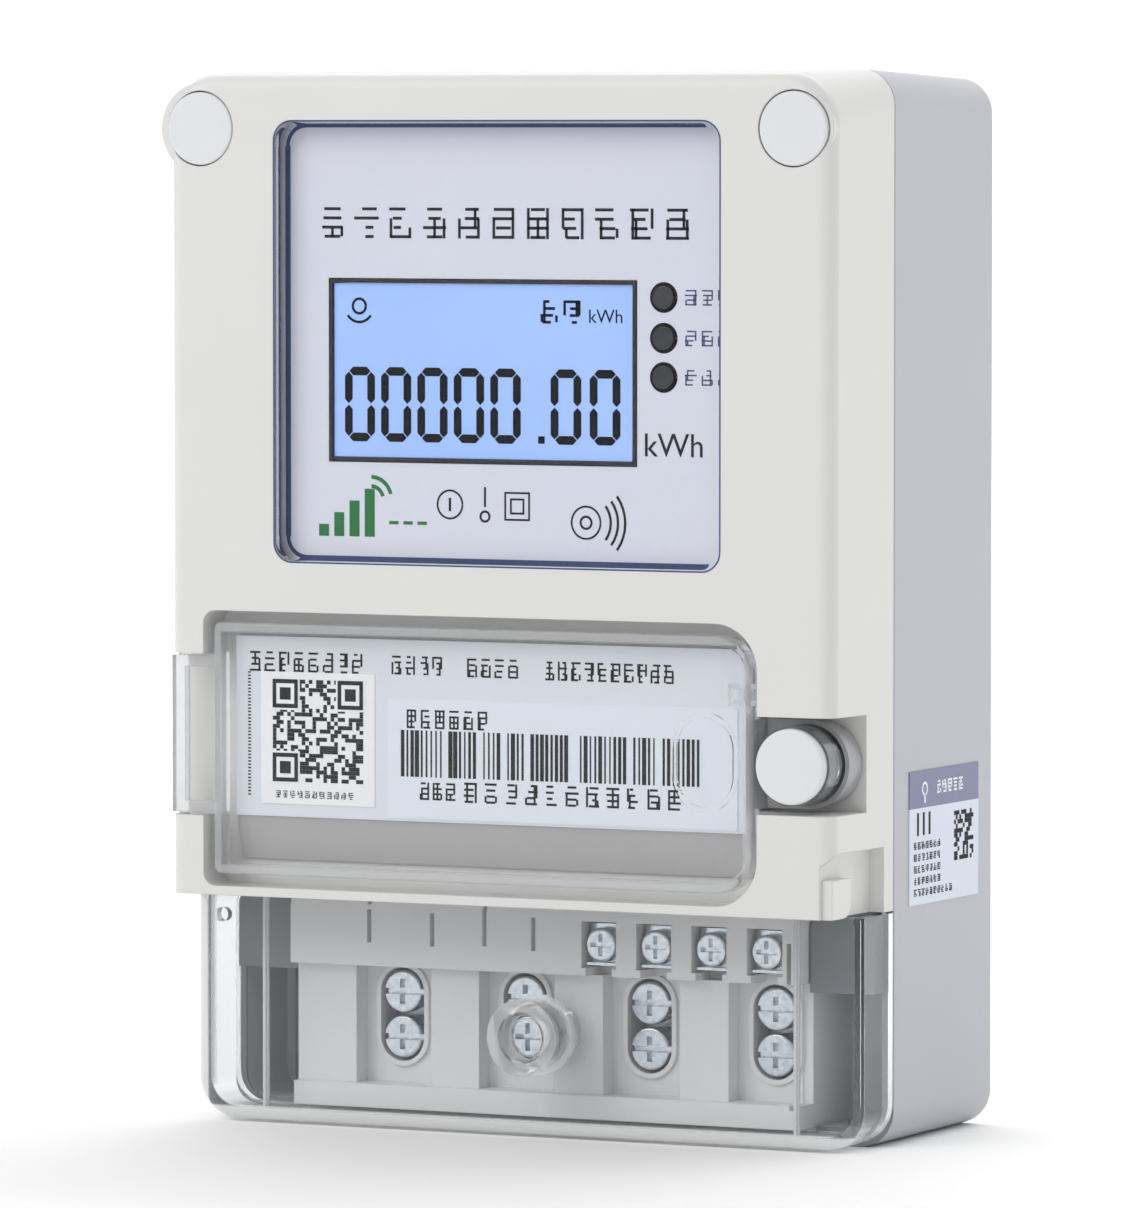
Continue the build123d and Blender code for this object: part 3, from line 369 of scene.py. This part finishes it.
def print_shapes(name, outlines, face, material, body="housing"):
    """Printed shapes on a flat face, each from its (across, up) corners in millimetres.

    face is the depth of a plane that faces forwards, or a function that gives the place of
    (across, up, lift) on another face.
    """
    place = face if callable(face) else lambda across, up, lift: (across, face - lift, up)
    shape = bmesh.new()
    for outline in outlines:
        near = [shape.verts.new(place(x * MM, z * MM, PRINT_THICKNESS)) for x, z in outline]
        far = [shape.verts.new(place(x * MM, z * MM, 0.0)) for x, z in outline]
        shape.faces.new(near)
        shape.faces.new(far[::-1])
        for i in range(len(near)):
            j = (i + 1) % len(near)
            shape.faces.new((near[i], far[i], far[j], near[j]))
    bmesh.ops.recalc_face_normals(shape, faces=shape.faces)
    mesh = bpy.data.meshes.new(name)
    shape.to_mesh(mesh)
    shape.free()
    mesh.materials.append(material)
    piece = bpy.data.objects.new(name, mesh)
    bpy.context.scene.collection.objects.link(piece)
    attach(piece, body)
    return piece


def cells_tree():
    """Geometry nodes for printed matter: a grid of small blocks, thinned out and varied in width."""
    tree = bpy.data.node_groups.new("printed_cells", "GeometryNodeTree")
    sockets = (
        ("Corner", "Vector"), ("Columns", "Int"), ("Rows", "Int"), ("Pitch X", "Float"),
        ("Pitch Z", "Float"),
        ("Cell X", "Float"), ("Cell Z", "Float"), ("Thickness", "Float"), ("Filled", "Float"),
        ("Narrowest", "Float"), ("Seed", "Int"), ("Ink", "Material"),
    )
    for name, kind in sockets:
        tree.interface.new_socket(name, in_out="INPUT", socket_type=f"NodeSocket{kind}")
    tree.interface.new_socket("Geometry", in_out="OUTPUT", socket_type="NodeSocketGeometry")
    given = add_node(tree, "NodeGroupInput").outputs
    index = add_node(tree, "GeometryNodeInputIndex").outputs[0]
    column = add_node(tree, "ShaderNodeMath", {"operation": "MODULO"}, {0: index, 1: given["Columns"]})
    share = add_node(tree, "ShaderNodeMath", {"operation": "DIVIDE"}, {0: index, 1: given["Columns"]})
    row = add_node(tree, "ShaderNodeMath", {"operation": "FLOOR"}, {0: share.outputs[0]})
    across = add_node(
        tree, "ShaderNodeMath", {"operation": "MULTIPLY"}, {0: column.outputs[0], 1: given["Pitch X"]}
    )
    down = add_node(
        tree, "ShaderNodeMath", {"operation": "MULTIPLY"}, {0: row.outputs[0], 1: given["Pitch Z"]}
    )
    offset = add_node(tree, "ShaderNodeCombineXYZ", {}, {"X": across.outputs[0], "Z": down.outputs[0]})
    spot = add_node(
        tree, "ShaderNodeVectorMath", {"operation": "ADD"}, {0: given["Corner"], 1: offset.outputs[0]}
    )
    count = add_node(
        tree, "ShaderNodeMath", {"operation": "MULTIPLY"}, {0: given["Columns"], 1: given["Rows"]}
    )
    points = add_node(
        tree, "GeometryNodePoints", {}, {"Count": count.outputs[0], "Position": spot.outputs[0]}
    )
    kept = add_node(
        tree, "FunctionNodeRandomValue", {"data_type": "BOOLEAN"},
        {"Probability": given["Filled"], "Seed": given["Seed"]},
    )
    narrowed = add_node(
        tree, "FunctionNodeRandomValue", {"data_type": "FLOAT", 3: 1.0},
        {2: given["Narrowest"], "Seed": given["Seed"]},
    )
    size = add_node(
        tree, "ShaderNodeCombineXYZ", {},
        {"X": given["Cell X"], "Y": given["Thickness"], "Z": given["Cell Z"]}
    )
    block = add_node(tree, "GeometryNodeMeshCube", {}, {"Size": size.outputs[0]})
    scale = add_node(tree, "ShaderNodeCombineXYZ", {"Y": 1.0, "Z": 1.0}, {"X": narrowed.outputs[1]})
    laid = add_node(
        tree, "GeometryNodeInstanceOnPoints", {},
        {"Points": points.outputs[0], "Selection": kept.outputs[3], "Instance": block.outputs["Mesh"],
         "Scale": scale.outputs[0]},
    )
    real = add_node(tree, "GeometryNodeRealizeInstances", {}, {0: laid.outputs[0]})
    inked = add_node(
        tree, "GeometryNodeSetMaterial", {}, {"Geometry": real.outputs[0], "Material": given["Ink"]}
    )
    add_node(tree, "NodeGroupOutput", {}, {0: inked.outputs[0]})
    return tree


printed_cells = cells_tree()


def print_cells(
    name, corner, grid, pitch, cell, plane, ink, filled=1.0, narrowest=1.0, seed=1
):
    """Rows of printed blocks from a lower left corner (x, z); pitch and cell size in millimetres.

    grid is (columns, rows), filled the share of cells kept and narrowest the least share of a width.
    """
    piece = bpy.data.objects.new(name, bpy.data.meshes.new(name))
    bpy.context.scene.collection.objects.link(piece)
    laying = piece.modifiers.new("cells", "NODES")
    laying.node_group = printed_cells
    values = {
        "Corner": (corner[0] * MM, plane - PRINT_THICKNESS / 2, corner[1] * MM),
        "Columns": grid[0], "Rows": grid[1], "Pitch X": pitch[0] * MM, "Pitch Z": pitch[1] * MM,
        "Cell X": cell[0] * MM, "Cell Z": cell[1] * MM, "Thickness": PRINT_THICKNESS,
        "Filled": filled, "Narrowest": narrowest, "Seed": seed, "Ink": ink,
    }
    for item in printed_cells.interface.items_tree:
        if item.name in values:
            laying[item.identifier] = values[item.name]
    evaluated = piece.evaluated_get(bpy.context.evaluated_depsgraph_get())
    plain = bpy.data.meshes.new_from_object(evaluated)
    piece.modifiers.clear()
    piece.data = plain
    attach(piece, "housing")
    return piece


def signs(start, middle, count, pitch, size, line, seed):
    """Outlines of a row of signs that spell nothing, each a few crossed strokes, in millimetres.

    start is the middle of the first sign across, middle their height, line the width of a stroke.
    """
    strokes = random.Random(seed)
    made = []
    for number in range(count):
        x = start + pitch * number
        lean = strokes.choice((-0.25, 0.0, 0.25)) * size[0]
        for height in (-0.45, -0.15, 0.15, 0.45):
            shift = lean if strokes.random() < 0.5 else 0.0
            length = strokes.uniform(0.5, 1.0) * size[0] - abs(shift)
            made.append(bar(x + shift / 2, middle + height * size[1], length, line))
        for side in (-0.38 * size[0], lean, 0.38 * size[0]):
            if strokes.random() < 0.75:
                low, high = strokes.choice(((-0.5, 0.15), (-0.15, 0.5), (-0.5, 0.5), (-0.45, -0.15)))
                made.append(
                    bar(x + side, middle + (low + high) / 2 * size[1], line, (high - low) * size[1])
                )
    return made


print_shapes(
    "title_signs", signs(-29.0, 57.1, 11, 5.78, (4.2, 4.6), 0.45, 9), panel_front, dark_ink,
)

# class, probe and double-insulation symbols, a wireless symbol and a signal-strength symbol
thin_line = 0.3
symbols = [arc(-9.1, 15.1, 2.1, thin_line), bar(-9.1, 15.1, 0.4, 2.0)]
symbols += [bar(-3.2, 16.3, 0.35, 3.0), arc(-3.2, 13.4, 0.75, 0.35)]
square_x, square_z = 2.2, 15.0
for half in (2.0, 1.05):
    for sign in (-1, 1):
        symbols.append(bar(square_x + sign * half, square_z, thin_line, 2 * half + thin_line))
        symbols.append(bar(square_x, square_z + sign * half, 2 * half - thin_line, thin_line))
wave_x, wave_z = 13.7, 12.8
symbols += [arc(wave_x, wave_z, 2.4, thin_line), arc(wave_x, wave_z, 0.9, 0.35)]
for reach in (4.1, 5.3, 6.5):
    symbols.append(arc(wave_x, wave_z, reach, 0.4, -38, 38))
print_shapes("panel_symbols", symbols, panel_front, dark_ink)
signal_mark = [
    bar(-30.5 + 2.6 * step, 10.0 + 0.9 * (step + 1), 1.7, 1.8 * (step + 1)) for step in range(4)
]
signal_mark += [arc(-22.4, 15.6, 2.0, 0.6, 15, 90), arc(-22.4, 15.6, 3.4, 0.6, 15, 90)]
signal_mark += [bar(-18.6 + 2.4 * step, 12.2, 1.6, 0.5) for step in range(3)]
print_shapes("signal_mark", signal_mark, panel_front, green_ink)
lamp_heights = (46.3, 40.3, 34.5)
for number, lamp_z in enumerate(lamp_heights):
    legend = signs(31.0, lamp_z, 2, 2.7, (2.1, 2.3), 0.22, 20 + number)
    print_shapes(f"lamp_legend_{number + 1}", legend, panel_front, navy_ink)


def print_text(name, words, size, centre, plane, ink):
    """A unit sign, centred on (x, z) in millimetres."""
    curve = bpy.data.curves.new(name, "FONT")
    curve.body = words
    curve.size = size * MM
    curve.align_x = "CENTER"
    curve.align_y = "CENTER"
    curve.extrude = PRINT_THICKNESS / 2
    holder = bpy.data.objects.new(name, curve)
    bpy.context.scene.collection.objects.link(holder)
    bpy.context.view_layer.update()
    mesh = bpy.data.meshes.new_from_object(holder.evaluated_get(bpy.context.evaluated_depsgraph_get()))
    bpy.data.objects.remove(holder)
    for vertex in mesh.vertices:
        x, y, depth = vertex.co
        vertex.co = (x + centre[0] * MM, plane - PRINT_THICKNESS / 2 - depth, y + centre[1] * MM)
    mesh.materials.clear()
    mesh.materials.append(ink)
    piece = bpy.data.objects.new(name, mesh)
    bpy.context.scene.collection.objects.link(piece)
    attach(piece, "housing")
    return piece


print_text("unit_sign", "kWh", 5.0, (28.2, 24.3), panel_front, dark_ink)

window_middle = 39.2
corner = 3.0


def rounded_frame(half_width, half_height, side_line, level_line, corner_line):
    """Outlines of a line with rounded corners round the window: its sides, levels and corners in mm."""
    made = []
    for sign in (-1, 1):
        made.append(bar(sign * half_width, window_middle, side_line, 2 * (half_height - corner)))
        made.append(bar(0, window_middle + sign * half_height, 2 * (half_width - corner), level_line))
    for turn, (side_x, side_z) in enumerate(((1, 1), (-1, 1), (-1, -1), (1, -1))):
        made.append(arc(
            side_x * (half_width - corner), window_middle + side_z * (half_height - corner), corner,
            corner_line, 90 * turn, 90 * turn + 90,
        ))
    return made


# navy line printed round the edge of the panel, just inside the window
print_shapes(
    "window_line", rounded_frame(36.6, 32.4, 0.9, 0.5, 0.6), panel_front, navy_ink
)

# thin dark line of the glue joint between the lens and the cover, round the opening
joint_line = 0.24
joint_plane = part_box("front_cover")[0][1] + 0.02 * MM
print_shapes(
    "window_joint", rounded_frame(37.35, 33.15, joint_line, joint_line, joint_line), joint_plane,
    navy_ink,
)

# ---- Display ------------------------------------------------------------------------------------
# Liquid crystal cell with a blue light guide behind it, in a black bezel. The crystal looks evenly
# lit, a little darker towards its edges; the black digits stand in the cell.
display_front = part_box("lcd_glass")[0][1]
dress(
    moulded_plastic("black_abs", "17181B", "1C1D20", roughness=0.4), "lcd_bezel", "board_link",
    "module_connector",
)


def lit_display(name, colour, shade, glow):
    """Glass lit from behind: drifts between two near blues, and glows a little in the same blue."""
    made = new_material(name)
    tree = made.node_tree
    place = add_node(tree, "ShaderNodeTexCoord").outputs["Object"]
    spread = add_node(
        tree, "ShaderNodeTexNoise", {"Scale": 1 / (30 * MM), "Detail": 0.0}, {"Vector": place}
    )
    tint = add_node(
        tree, "ShaderNodeMix", {"data_type": "RGBA", 6: linear(colour), 7: linear(shade)},
        {0: spread.outputs[0]}
    )
    surface = add_node(
        tree, "ShaderNodeBsdfPrincipled", {"Roughness": 0.25, "IOR": 1.52, "Emission Strength": glow},
        {"Base Color": tint.outputs[2], "Emission Color": tint.outputs[2]},
    )
    add_node(tree, "ShaderNodeOutputMaterial", {}, {"Surface": surface.outputs["BSDF"]})
    return made


dress(lit_display("lit_liquid_crystal", "8DACEB", "96B5EF", 0.36), "lcd_glass")
dress(lit_display("acrylic_light_guide", "C9DAFB", "D6E3FC", 0.5), "lcd_backlight")
black_ink = printing_ink("crystal_black", "060709")


def segment(start, end, line):
    """Corners of a display segment with pointed ends, between two points in millimetres."""
    along = (Vector(end) - Vector(start)).normalized()
    side = Vector((-along.y, along.x)) * line / 2
    a, b = Vector(start) + along * line * 0.08, Vector(end) - along * line * 0.08
    inner_a, inner_b = a + along * line / 2, b - along * line / 2
    return [tuple(p) for p in (a, inner_a - side, inner_b - side, b, inner_b + side, inner_a + side)]


digit_size = (3.8, 9.9)
digit_line = 1.3
digit_middle = 29.9
digits = []
for digit_x in [-24.5 + 6.15 * number for number in range(5)] + [10.2, 16.7]:
    left, right = digit_x - digit_size[0] / 2, digit_x + digit_size[0] / 2
    low, high = digit_middle - digit_size[1] / 2, digit_middle + digit_size[1] / 2
    for ends in (
        ((left, high), (right, high)), ((left, low), (right, low)),
        ((left, digit_middle), (left, high)), ((right, digit_middle), (right, high)),
        ((left, low), (left, digit_middle)), ((right, low), (right, digit_middle)),
    ):
        digits.append(segment(*ends, digit_line))
point_size = 1.1
digits.append(bar(6.1, digit_middle - digit_size[1] / 2, point_size, point_size))
print_shapes("display_digits", digits, display_front, black_ink)
print_shapes(
    "display_mark", [arc(-24.6, 44.6, 1.1, 0.4), arc(-24.6, 44.6, 2.4, 0.4, 215, 325)],
    display_front, black_ink,
)
print_shapes(
    "display_legend", signs(7.4, 44.0, 2, 3.8, (3.2, 3.4), 0.42, 2), display_front, black_ink,
)
print_text("display_unit", "kWh", 2.9, (16.8, 43.3), display_front, black_ink)

# ---- Indicator lamps ----------------------------------------------------------------------------
# Three smoke-grey acrylic light pipes in black sleeves, with a small diode behind each.
dress(
    moulded_plastic("smoked_acrylic", "2E3034", "36383C", roughness=0.2, relief=0.0), "indicator_lenses"
)
dress(moulded_plastic("white_diode_resin", "EDEDEA", "E6E6E2", roughness=0.3), "indicator_leds")
print_shapes(
    "lamp_sleeves", [arc(26.55, lamp_z, 2.0, 0.55) for lamp_z in lamp_heights], panel_front,
    black_ink,
)

# ---- Clear door and its seal --------------------------------------------------------------------
# Hinged lid in clear polycarbonate; its skirt and loop are painted grey at the edges, painted shade of
# the recess it sits in. The sealing knob on its tongue is a clear barrel with a white cap and a
# nickel-plated screw inside.
lid_left, lid_right, lid_low, lid_top = -48.2 * MM, 42.2 * MM, -41.4 * MM, -3.3 * MM
lid_skirt = 1.6 * MM
lid_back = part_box("clear_door")[1][1]
lid_rim = (
    (lid_left + lid_right) / 2, (lid_low + lid_top) / 2,
    (lid_right - lid_left) / 2 - lid_skirt, (lid_top - lid_low) / 2 - lid_skirt, lid_back,
)
# painted shade: outside the rim the door is mixed towards a flat grey
dress(
    clear_polycarbonate("door_polycarbonate", "FDFEFF", 1.3, lid_rim, None, 0.45, "C9CBCE"), "clear_door"
)
dress(clear_polycarbonate("knob_polycarbonate", "FAFBFC", 1.45), "seal_barrel")
dress(cap_material, "seal_cap")
# painted reflection: the nickel clouds between dark bluish grey and near white in patches under a
# millimetre
nickel_with_painted_reflections = plated_metal("nickel_steel_painted_reflections", "98A5B2", "E8ECEF", 0.16, 0.9, brushed=0.6)
dress(nickel_with_painted_reflections, "seal_screw")

# ---- Communication module -----------------------------------------------------------------------
# Plug-in module under the door: light grey ABS case, with a printed rating card and two labels on
# its face. All marks are rows of blocks; the square code is random cells and can't be read.
card_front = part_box("rating_card")[0][1]
code_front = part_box("code_label")[0][1]
barcode_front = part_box("barcode_label")[0][1]
case_material = moulded_plastic("light_grey_abs", "DADCE1", "D6D8DD", roughness=0.42)
dress(case_material, "module_case")
# painted shade: its sloping lower front, from just under the card down, is painted a darker warm grey
slope_shade = add_node(
    case_material.node_tree, "ShaderNodeMapRange", {"From Min": -32.4 * MM, "From Max": -32.8 * MM},
    {"Value": position(case_material, "Z")},
)
tint_over(case_material, "B7B5B6", slope_shade.outputs["Result"])
dress(
    moulded_plastic("blue_grey_card", "E6E9F1", "E3E6EE", roughness=0.36, relief=0.03, edge=0.05),
    "rating_card",
)
dress(
    moulded_plastic("white_label_paper", "F8F9FC", "F5F6F9", roughness=0.5, relief=0.03, edge=0.05),
    "code_label",
)
dress(
    moulded_plastic("pale_blue_label", "EAF0F9", "E7EDF6", roughness=0.42, relief=0.03, edge=0.05),
    "barcode_label",
)
label_ink = printing_ink("label_black", "15171B")
rating = signs(-42.6, -9.2, 8, 2.5, (1.9, 3.0), 0.32, 41)
rating += signs(-18.4, -9.2, 4, 2.3, (1.8, 2.8), 0.3, 42)
rating += signs(-5.6, -9.3, 4, 2.3, (1.8, 2.8), 0.3, 43)
rating += signs(7.4, -9.4, 10, 2.2, (1.7, 2.8), 0.3, 44)
print_shapes("rating_signs", rating, card_front, label_ink)
CODE_CELL = 0.62
code_corner = (-39.2, -27.0)
print_cells(
    "code_cells", code_corner, (25, 25), (CODE_CELL, CODE_CELL), (0.6, 0.6), code_front, label_ink,
    filled=0.5, seed=11,
)
# the three corner squares lie over the cells, on a blank patch
label_blank = moulded_plastic("label_blank", "F8F9FC", "F5F6F9", roughness=0.5, relief=0.03, edge=0.01)
patches, squares = [], []
for across, up in ((3, 3), (3, 21), (21, 21)):
    x, z = code_corner[0] + across * CODE_CELL, code_corner[1] + up * CODE_CELL
    patches.append(bar(x, z, 8 * CODE_CELL, 8 * CODE_CELL))
    squares.append(bar(x, z, 3 * CODE_CELL, 3 * CODE_CELL))
    for sign in (-3, 3):
        squares.append(bar(x + sign * CODE_CELL, z, CODE_CELL, 7 * CODE_CELL))
        squares.append(bar(x, z + sign * CODE_CELL, 5 * CODE_CELL, CODE_CELL))
print_shapes("code_patches", patches, code_front - PRINT_THICKNESS, label_blank)
print_shapes("code_squares", squares, code_front - 2 * PRINT_THICKNESS, label_ink)
print_shapes(
    "code_caption", signs(-38.6, -29.2, 11, 1.25, (0.9, 1.0), 0.14, 12), code_front, label_ink,
)
print_cells(
    "card_ticks", (-43.6, -29.4), (1, 38), (1.0, 0.5), (0.5, 0.22), card_front, label_ink,
    seed=3,
)
print_cells(
    "barcode_bars", (-17.3, -22.4), (62, 1), (0.81, 1.0), (0.74, 7.0), barcode_front, label_ink,
    filled=0.8, narrowest=0.3, seed=13,
)
barcode_row = signs(-13.6, -28.0, 3, 2.2, (1.7, 2.6), 0.3, 14)
barcode_row += signs(-5.8, -28.0, 11, 3.4, (2.3, 3.0), 0.34, 15)
print_shapes("barcode_signs", barcode_row, barcode_front, label_ink)
print_shapes(
    "barcode_heading", signs(-15.8, -17.2, 6, 2.4, (1.7, 2.8), 0.3, 16), barcode_front, label_ink,
)

# ---- Side label ---------------------------------------------------------------------------------
# Self-adhesive vinyl on the shell's right side: a violet-blue heading over a pale field.


def side_label_vinyl(name, head, field, edge_height):
    """Printed vinyl: head colour above edge_height, field colour below, with a slightly uneven gloss."""
    made = new_material(name)
    tree = made.node_tree
    place = add_node(tree, "ShaderNodeTexCoord").outputs["Object"]
    parts = add_node(tree, "ShaderNodeSeparateXYZ", {}, {"Vector": place})
    above = add_node(
        tree, "ShaderNodeMath", {"operation": "GREATER_THAN", 1: edge_height}, {0: parts.outputs["Z"]}
    )
    tint = add_node(
        tree, "ShaderNodeMix", {"data_type": "RGBA", 6: linear(field), 7: linear(head)},
        {0: above.outputs[0]}
    )
    grain = add_node(
        tree, "ShaderNodeTexNoise", {"Scale": 1 / (2 * MM), "Detail": 2.0}, {"Vector": place}
    )
    gloss = add_node(
        tree, "ShaderNodeMapRange", {"To Min": 0.3, "To Max": 0.45}, {"Value": grain.outputs[0]}
    )
    surface = add_node(
        tree, "ShaderNodeBsdfPrincipled", {"IOR": 1.5},
        {"Base Color": tint.outputs[2], "Roughness": gloss.outputs["Result"]},
    )
    add_node(tree, "ShaderNodeOutputMaterial", {}, {"Surface": surface.outputs["BSDF"]})
    return made


side_low, side_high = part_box("side_label")
dress(side_label_vinyl("printed_vinyl", "6F7297", "D6DDEB", side_high[2] - 5.6 * MM), "side_label")
label_lean = (side_high[0] - side_low[0] - 0.15 * MM) / (side_high[1] - side_low[1])


def on_side_label(across, up, lift):
    """Place on the label's face: across runs from front to back, up is height, both in metres."""
    return (side_high[0] - label_lean * (across - side_low[1]) + lift, across, up)


head_signs = [arc(-26.0, -27.2, 0.9, 0.35), bar(-26.0, -28.6, 0.5, 1.4)]
head_signs += signs(-20.6, -27.2, 5, 2.1, (1.7, 1.8), 0.3, 31)
print_shapes("side_label_heading", head_signs, on_side_label, label_blank)
field_signs = [bar(-28.6 + 2.2 * number, -32.4, 0.7, 3.4) for number in range(3)]
for row in range(5):
    field_signs += signs(
        -29.6, -35.6 - 1.75 * row, 7 if row < 4 else 10, 1.5, (1.1, 1.0), 0.18, 50 + row
    )
cells = random.Random(8)
side_pitch, side_cell = 0.68, 0.66
for column in range(11):
    for row in range(11):
        if cells.random() < 0.5:
            field_signs.append(
                bar(-14.4 + side_pitch * column, -31.6 - side_pitch * row, side_cell, side_cell)
            )
print_shapes("side_label_marks", field_signs, on_side_label, label_ink)

# ---- Terminal block -----------------------------------------------------------------------------
# Heat-proof block that holds the brass terminals. Glass-filled polycarbonate, light grey and matt,
# with slightly rounded mould edges.
dress(
    moulded_plastic("glass_filled_polycarbonate", "E9E9E9", "E4E4E5", roughness=0.46, relief=0.14),
    "terminal_block",
)

# ---- Terminals and their screws -----------------------------------------------------------------
# Tin-plated brass terminals, with nickel-plated steel screws whose dark bluish and bright patches are
# painted reflection.
tinned = plated_metal("tin_plated_brass", "A9AEB4", "C2C6CA", 0.30, 1.5, brushed=0.3)
for name in ("line_in", "line_out", "neutral_in", "neutral_out"):
    dress(tinned, f"{name}_terminal")
    dress(nickel_with_painted_reflections, f"{name}_clamp_screws")
dress(tinned, "signal_posts")
for number in range(1, 5):
    dress(nickel_with_painted_reflections, f"signal_clamp_{number}")

# ---- Terminal cover -----------------------------------------------------------------------------
# Clear tray over the terminals with a boss for its sealing screw, in the same polycarbonate. Its lower
# and left edges are painted near white, a painted highlight; the ring round the boss is painted milky,
# partly its frosting and partly painted highlight; the right edge is left clear.
cover_low, cover_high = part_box("terminal_cover")
cover_edge = 2.2 * MM
cover_face = -48.8 * MM
cover_rim = (
    cover_edge / 2, cover_high[2], cover_high[0] - cover_edge / 2,
    cover_high[2] - cover_low[2] - cover_edge, cover_face,
)
cover_boss = (2.4 * MM, -64.5 * MM, 3.7 * MM, 6.2 * MM)
# painted highlight: the lower and left edges and the boss ring are mixed towards near white
dress(
    clear_polycarbonate("cover_polycarbonate", "FDFEFF", 1.35, cover_rim, cover_boss, 0.72, "FBFCFD"),
    "terminal_cover"
)
dress(nickel_with_painted_reflections, "cover_seal_screw")

# two upright stiffening ribs behind its face
rib_shape = bmesh.new()
rib_size = (0.9 * MM, 1.0 * MM, cover_high[2] - cover_low[2] - 2.6 * MM)
for rib_x in (-44.8, 44.8):
    rib_middle = (rib_x * MM, -46.6 * MM, (cover_low[2] + cover_high[2]) / 2 + 0.4 * MM)
    made = bmesh.ops.create_cube(rib_shape, size=1.0)["verts"]
    bmesh.ops.scale(rib_shape, vec=rib_size, verts=made)
    bmesh.ops.translate(rib_shape, vec=rib_middle, verts=made)
bmesh.ops.bevel(
    rib_shape, geom=[e for e in rib_shape.edges if abs(e.verts[0].co.z - e.verts[1].co.z) > 20 * MM],
    offset=0.25 * MM, segments=2, affect="EDGES",
)
rib_mesh = bpy.data.meshes.new("cover_ribs")
rib_shape.to_mesh(rib_mesh)
rib_shape.free()
rib_mesh.materials.append(
    moulded_plastic("rib_polycarbonate", "E4E7EA", "DFE2E6", roughness=0.25, relief=0.0)
)
cover_ribs = bpy.data.objects.new("cover_ribs", rib_mesh)
bpy.context.scene.collection.objects.link(cover_ribs)
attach(cover_ribs, "terminal_cover")

# ---- Electronics --------------------------------------------------------------------------------
# Boards in green solder mask, and the parts on them in their usual finishes. They are closed in.
board = moulded_plastic("solder_mask_laminate", "1F5B38", "256742", roughness=0.35, relief=0.05)
dress(board, "display_board", "main_board", "module_board")
dress(
    moulded_plastic("relay_housing_pbt", "DADCDD", "D3D5D7", roughness=0.4), "latching_relay", "sim_card"
)
dress(
    plated_metal("rolled_copper", "B87A5A", "C98D6C", 0.3, 2.0, 0.2), "measuring_shunt",
    "line_out_bar", "neutral_link",
)
dress(
    moulded_plastic("potting_epoxy", "1A1B1E", "222327", roughness=0.3), "current_transformer",
    "metering_chip",
)
dress(moulded_plastic("transformer_tape", "C9A83A", "BF9E34", roughness=0.35), "power_transformer")
dress(moulded_plastic("capacitor_sleeve", "20242E", "262B36", roughness=0.28), "supply_capacitor")
dress(moulded_plastic("dipped_epoxy", "27508F", "2B5799", roughness=0.25), "surge_varistor")
dress(plated_metal("battery_steel_can", "B9BCC0", "C6C9CC", 0.3, 3.0, 0.1), "backup_battery")
dress(nickel_with_painted_reflections, "modem_can", "sim_holder")
dress(moulded_plastic("antenna_ceramic", "E5E2D6", "DDDACE", roughness=0.5), "module_antenna")

# ---- Studio -------------------------------------------------------------------------------------
# Pale sweep under and behind the meter, a broad lamp above on the left, a dimmer sky on the right.
floor_level = cad_box[0][2]
sweep = bmesh.new()
bend_start, bend = 2.6, 0.6
profile = [(-3.0, 0.0), (bend_start, 0.0)]
for turn in range(9, 91, 9):
    lean = math.radians(turn)
    profile.append((bend_start + bend * math.sin(lean), bend - bend * math.cos(lean)))
profile.append((bend_start + bend, 3.0))
rows = [[sweep.verts.new((x, y, floor_level + z)) for x in (-3.5, 3.5)] for y, z in profile]
for near, far in zip(rows, rows[1:]):
    sweep.faces.new((near[0], near[1], far[1], far[0])).smooth = True
sweep_mesh = bpy.data.meshes.new("studio_sweep")
sweep.to_mesh(sweep_mesh)
sweep.free()
sweep_mesh.materials.append(
    moulded_plastic("paper_sweep", "FCFCFC", "FAFAFA", roughness=0.8, relief=0.02, edge=0.01)
)
studio_sweep = bpy.data.objects.new("studio_sweep", sweep_mesh)
bpy.context.scene.collection.objects.link(studio_sweep)


def soft_lamp(name, place, target, size, power, colour):
    """Rectangular lamp of that size in metres and power in watts, turned to its target."""
    light = bpy.data.lights.new(name, "AREA")
    light.shape = "RECTANGLE"
    light.size, light.size_y = size
    light.energy = power
    light.color = linear(colour)[:3]
    holder = bpy.data.objects.new(name, light)
    holder.location = place
    holder.rotation_euler = (Vector(target) - Vector(place)).to_track_quat("-Z", "Y").to_euler()
    bpy.context.scene.collection.objects.link(holder)


soft_lamp("key_lamp", (-0.55, -0.9, 0.75), (0, -0.03, 0), (0.9, 0.9), 4.2, "FFFDFA")
soft_lamp("sweep_lamp", (0.0, 1.2, 1.6), (0, 2.2, 0.0), (3.0, 1.6), 52.0, "FFFFFF")

world = bpy.data.worlds.new("studio")
world.use_nodes = True
sky = world.node_tree
heading = add_node(sky, "ShaderNodeTexCoord").outputs["Generated"]
sky_side = add_node(
    sky, "ShaderNodeVectorMath", {"operation": "DOT_PRODUCT", 1: (-0.65, 0.0, 1.0)}, {0: heading}
)
sky_strength = add_node(
    sky, "ShaderNodeMapRange", {"From Min": -0.3, "From Max": 0.9, "To Min": 0.49, "To Max": 0.78},
    {"Value": sky_side.outputs["Value"]},
)
sky.nodes["Background"].inputs["Color"].default_value = (1.0, 1.0, 1.0, 1.0)
sky.links.new(sky_strength.outputs["Result"], sky.nodes["Background"].inputs["Strength"])
bpy.context.scene.world = world
bpy.context.scene.view_settings.view_transform = "Standard"

# long lens, from the right and a little above
view_azimuth = math.radians(27.0)
view_elevation = math.radians(2.94)
view_distance = 1.396
aim = Vector((-0.0017, -0.029, -0.0008))
back = Vector((
    math.sin(view_azimuth) * math.cos(view_elevation),
    -math.cos(view_azimuth) * math.cos(view_elevation),
    math.sin(view_elevation),
))
camera_data = bpy.data.cameras.new("camera")
camera_data.lens = 274.4
camera_data.sensor_width = 36.0
camera = bpy.data.objects.new("camera", camera_data)
camera.location = aim + back * view_distance
camera.rotation_euler = (-back).to_track_quat("-Z", "Y").to_euler()
bpy.context.scene.collection.objects.link(camera)
bpy.context.scene.camera = camera
